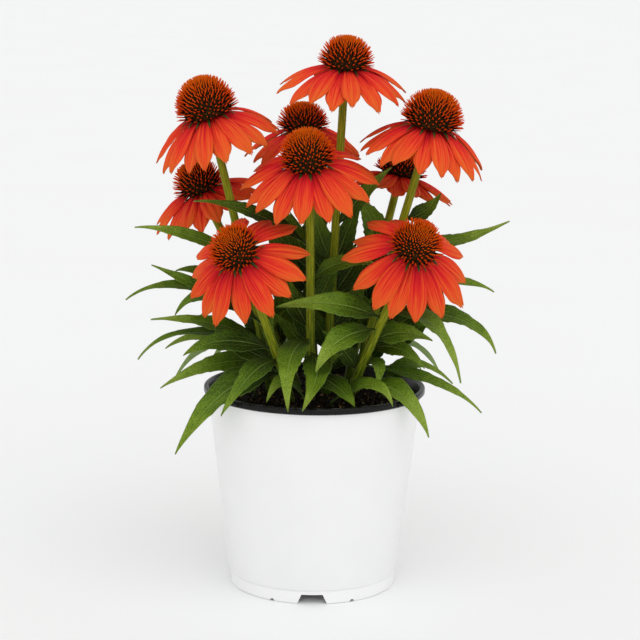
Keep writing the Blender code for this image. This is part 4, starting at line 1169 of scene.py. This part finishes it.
def crumb_shell(draw):
    """Loose crumbs and bark flakes, half sunk in the top of the potting mix. Each starts as
    a ball of 20 triangles."""
    golden = (1 + math.sqrt(5)) / 2
    corners = np.array([(-1, golden, 0), (1, golden, 0), (-1, -golden, 0), (1, -golden, 0),
                        (0, -1, golden), (0, 1, golden), (0, -1, -golden), (0, 1, -golden),
                        (golden, 0, -1), (golden, 0, 1), (-golden, 0, -1), (-golden, 0, 1)])
    faces = np.array([(0, 11, 5), (0, 5, 1), (0, 1, 7), (0, 7, 10), (0, 10, 11),
                      (1, 5, 9), (5, 11, 4), (11, 10, 2), (10, 7, 6), (7, 1, 8),
                      (3, 9, 4), (3, 4, 2), (3, 2, 6), (3, 6, 8), (3, 8, 9),
                      (4, 9, 5), (2, 4, 11), (6, 2, 10), (8, 6, 7), (9, 8, 1)])
    smallest, largest = CRUMB_SIZES
    size = smallest + (largest - smallest) * draw.uniform(0, 1, CRUMBS) ** 2.5
    stretch = draw.uniform(0.5, 1.5, (CRUMBS, 3)) * size[:, None]
    lumps = unit(corners)[None] * stretch[:, None, :] * draw.uniform(0.75, 1.2, (CRUMBS, 12, 1))
    turns = draw.normal(0, 1, (CRUMBS, 4))
    points = np.stack([lump @ np.array(Quaternion(turn).normalized().to_matrix()).T
                       for lump, turn in zip(lumps, turns)])
    radius = (SOIL_RADIUS - 1.5) * np.sqrt(draw.uniform(0, 1, CRUMBS))
    angle = draw.uniform(0, 2 * np.pi, CRUMBS)
    centre = np.stack([radius * np.cos(angle), radius * np.sin(angle),
                       SOIL_TOP + draw.uniform(-0.2, 1.0, CRUMBS)], axis=-1)
    points = points + centre[:, None, :]
    growth = np.repeat(draw.uniform(0, 1, (CRUMBS, 1, 3)), 12, axis=1)
    index = (faces[None] + (np.arange(CRUMBS) * 12)[:, None, None]).reshape(-1, 3)
    return points.reshape(-1, 3), [index], growth.reshape(-1, 3), 1


def make_soil(peat, bark):
    """The potting mix: a clodded top with crumbs on it, and the plain root ball below."""
    draw = np.random.default_rng(600)
    inner = LEDGE_RADIUS - WALL_THICKNESS
    top = [(r, SOIL_TOP) for r in np.linspace(SOIL_RADIUS - 0.2, 0.01, SOIL_RINGS)]
    ball = [(0.01, FLOOR_TOP + 0.3), (inner - 2, FLOOR_TOP + 0.3),
            (inner - 0.5, LEDGE_HEIGHT + 2.5)]
    rings = turned(ball + top, SOIL_SIDES)
    face = rings[len(ball):]
    rough = np.zeros(face.shape[:2])
    for size, strength in CLODS:
        x, y = face[..., 0] / size, face[..., 1] / size
        phase = draw.uniform(0, 6.28, 6)
        rough += strength * (np.sin(x * 3.1 + phase[0] + 1.7 * np.sin(y * 2.3 + phase[1]))
                             * np.sin(y * 2.9 + phase[2] + 1.9 * np.sin(x * 2.1 + phase[3])))
    face[..., 2] += rough + draw.uniform(-0.3, 0.3, rough.shape)
    rings[-1, :, 2] = SOIL_TOP
    piece("soil", [tube(rings), crumb_shell(draw)], [peat, bark],
          ["potting_mix"])


def make_stage(paper):
    """The pale floor, the soft light and the camera at the photograph's angle."""
    corners = [(x * FLOOR_REACH, y * FLOOR_REACH, 0) for x, y in ((-1, -1), (1, -1), (1, 1), (-1, 1))]
    mesh = bpy.data.meshes.new("studio_floor")
    mesh.from_pydata(corners, [], [(0, 1, 2, 3)])
    mesh.materials.append(paper)
    show("studio_floor", mesh)

    world = bpy.data.worlds.new("soft_box")
    world.use_nodes = True
    background = world.node_tree.nodes["Background"]
    background.inputs["Color"].default_value = (1, 1, 1, 1)
    background.inputs["Strength"].default_value = ROOM_LIGHT
    bpy.context.scene.world = world

    overhead = bpy.data.lights.new("overhead_soft_light", "SUN")
    overhead.energy = OVERHEAD_LIGHT
    overhead.angle = math.radians(OVERHEAD_SPREAD)
    lamp = show("overhead_soft_light", overhead)
    lamp.rotation_euler = (*np.radians(OVERHEAD_LEAN), 0)

    view = bpy.data.cameras.new("camera")
    view.sensor_width = SENSOR
    view.lens = LENS
    view.clip_end = 100.0
    camera = show("camera", view)
    elevation = math.radians(CAMERA_ELEVATION)
    forward = Vector((0, math.cos(elevation), -math.sin(elevation)))
    camera.location = Vector(CAMERA_AIM) - forward * CAMERA_DISTANCE
    camera.rotation_mode = "QUATERNION"
    roll = Quaternion((0, 0, 1), math.radians(CAMERA_ROLL))
    camera.rotation_quaternion = forward.to_track_quat("-Z", "Y") @ roll
    bpy.context.scene.camera = camera
    bpy.context.scene.view_settings.view_transform = "Standard"


def main():
    """Dress every node of the frame and set the stage."""
    make_pot(white_plastic(), black_plastic())
    make_soil(damp_peat(), bark_crumb())
    stem, bract, bristle, leaf = stem_skin(), bract_flesh(), stem_bristle(), leaf_flesh()
    petal, core, spine = petal_flesh(), cone_core(), cone_spine()
    for bloom in BLOOMS:
        make_stem(bloom, stem, bract, bristle, leaf)
        make_petals(bloom, petal, bract)
        make_cone(bloom, core, spine, bract)
    for number, place in CROWNS.items():
        make_tuft(number, place, leaf)
    make_stage(studio_paper())


main()
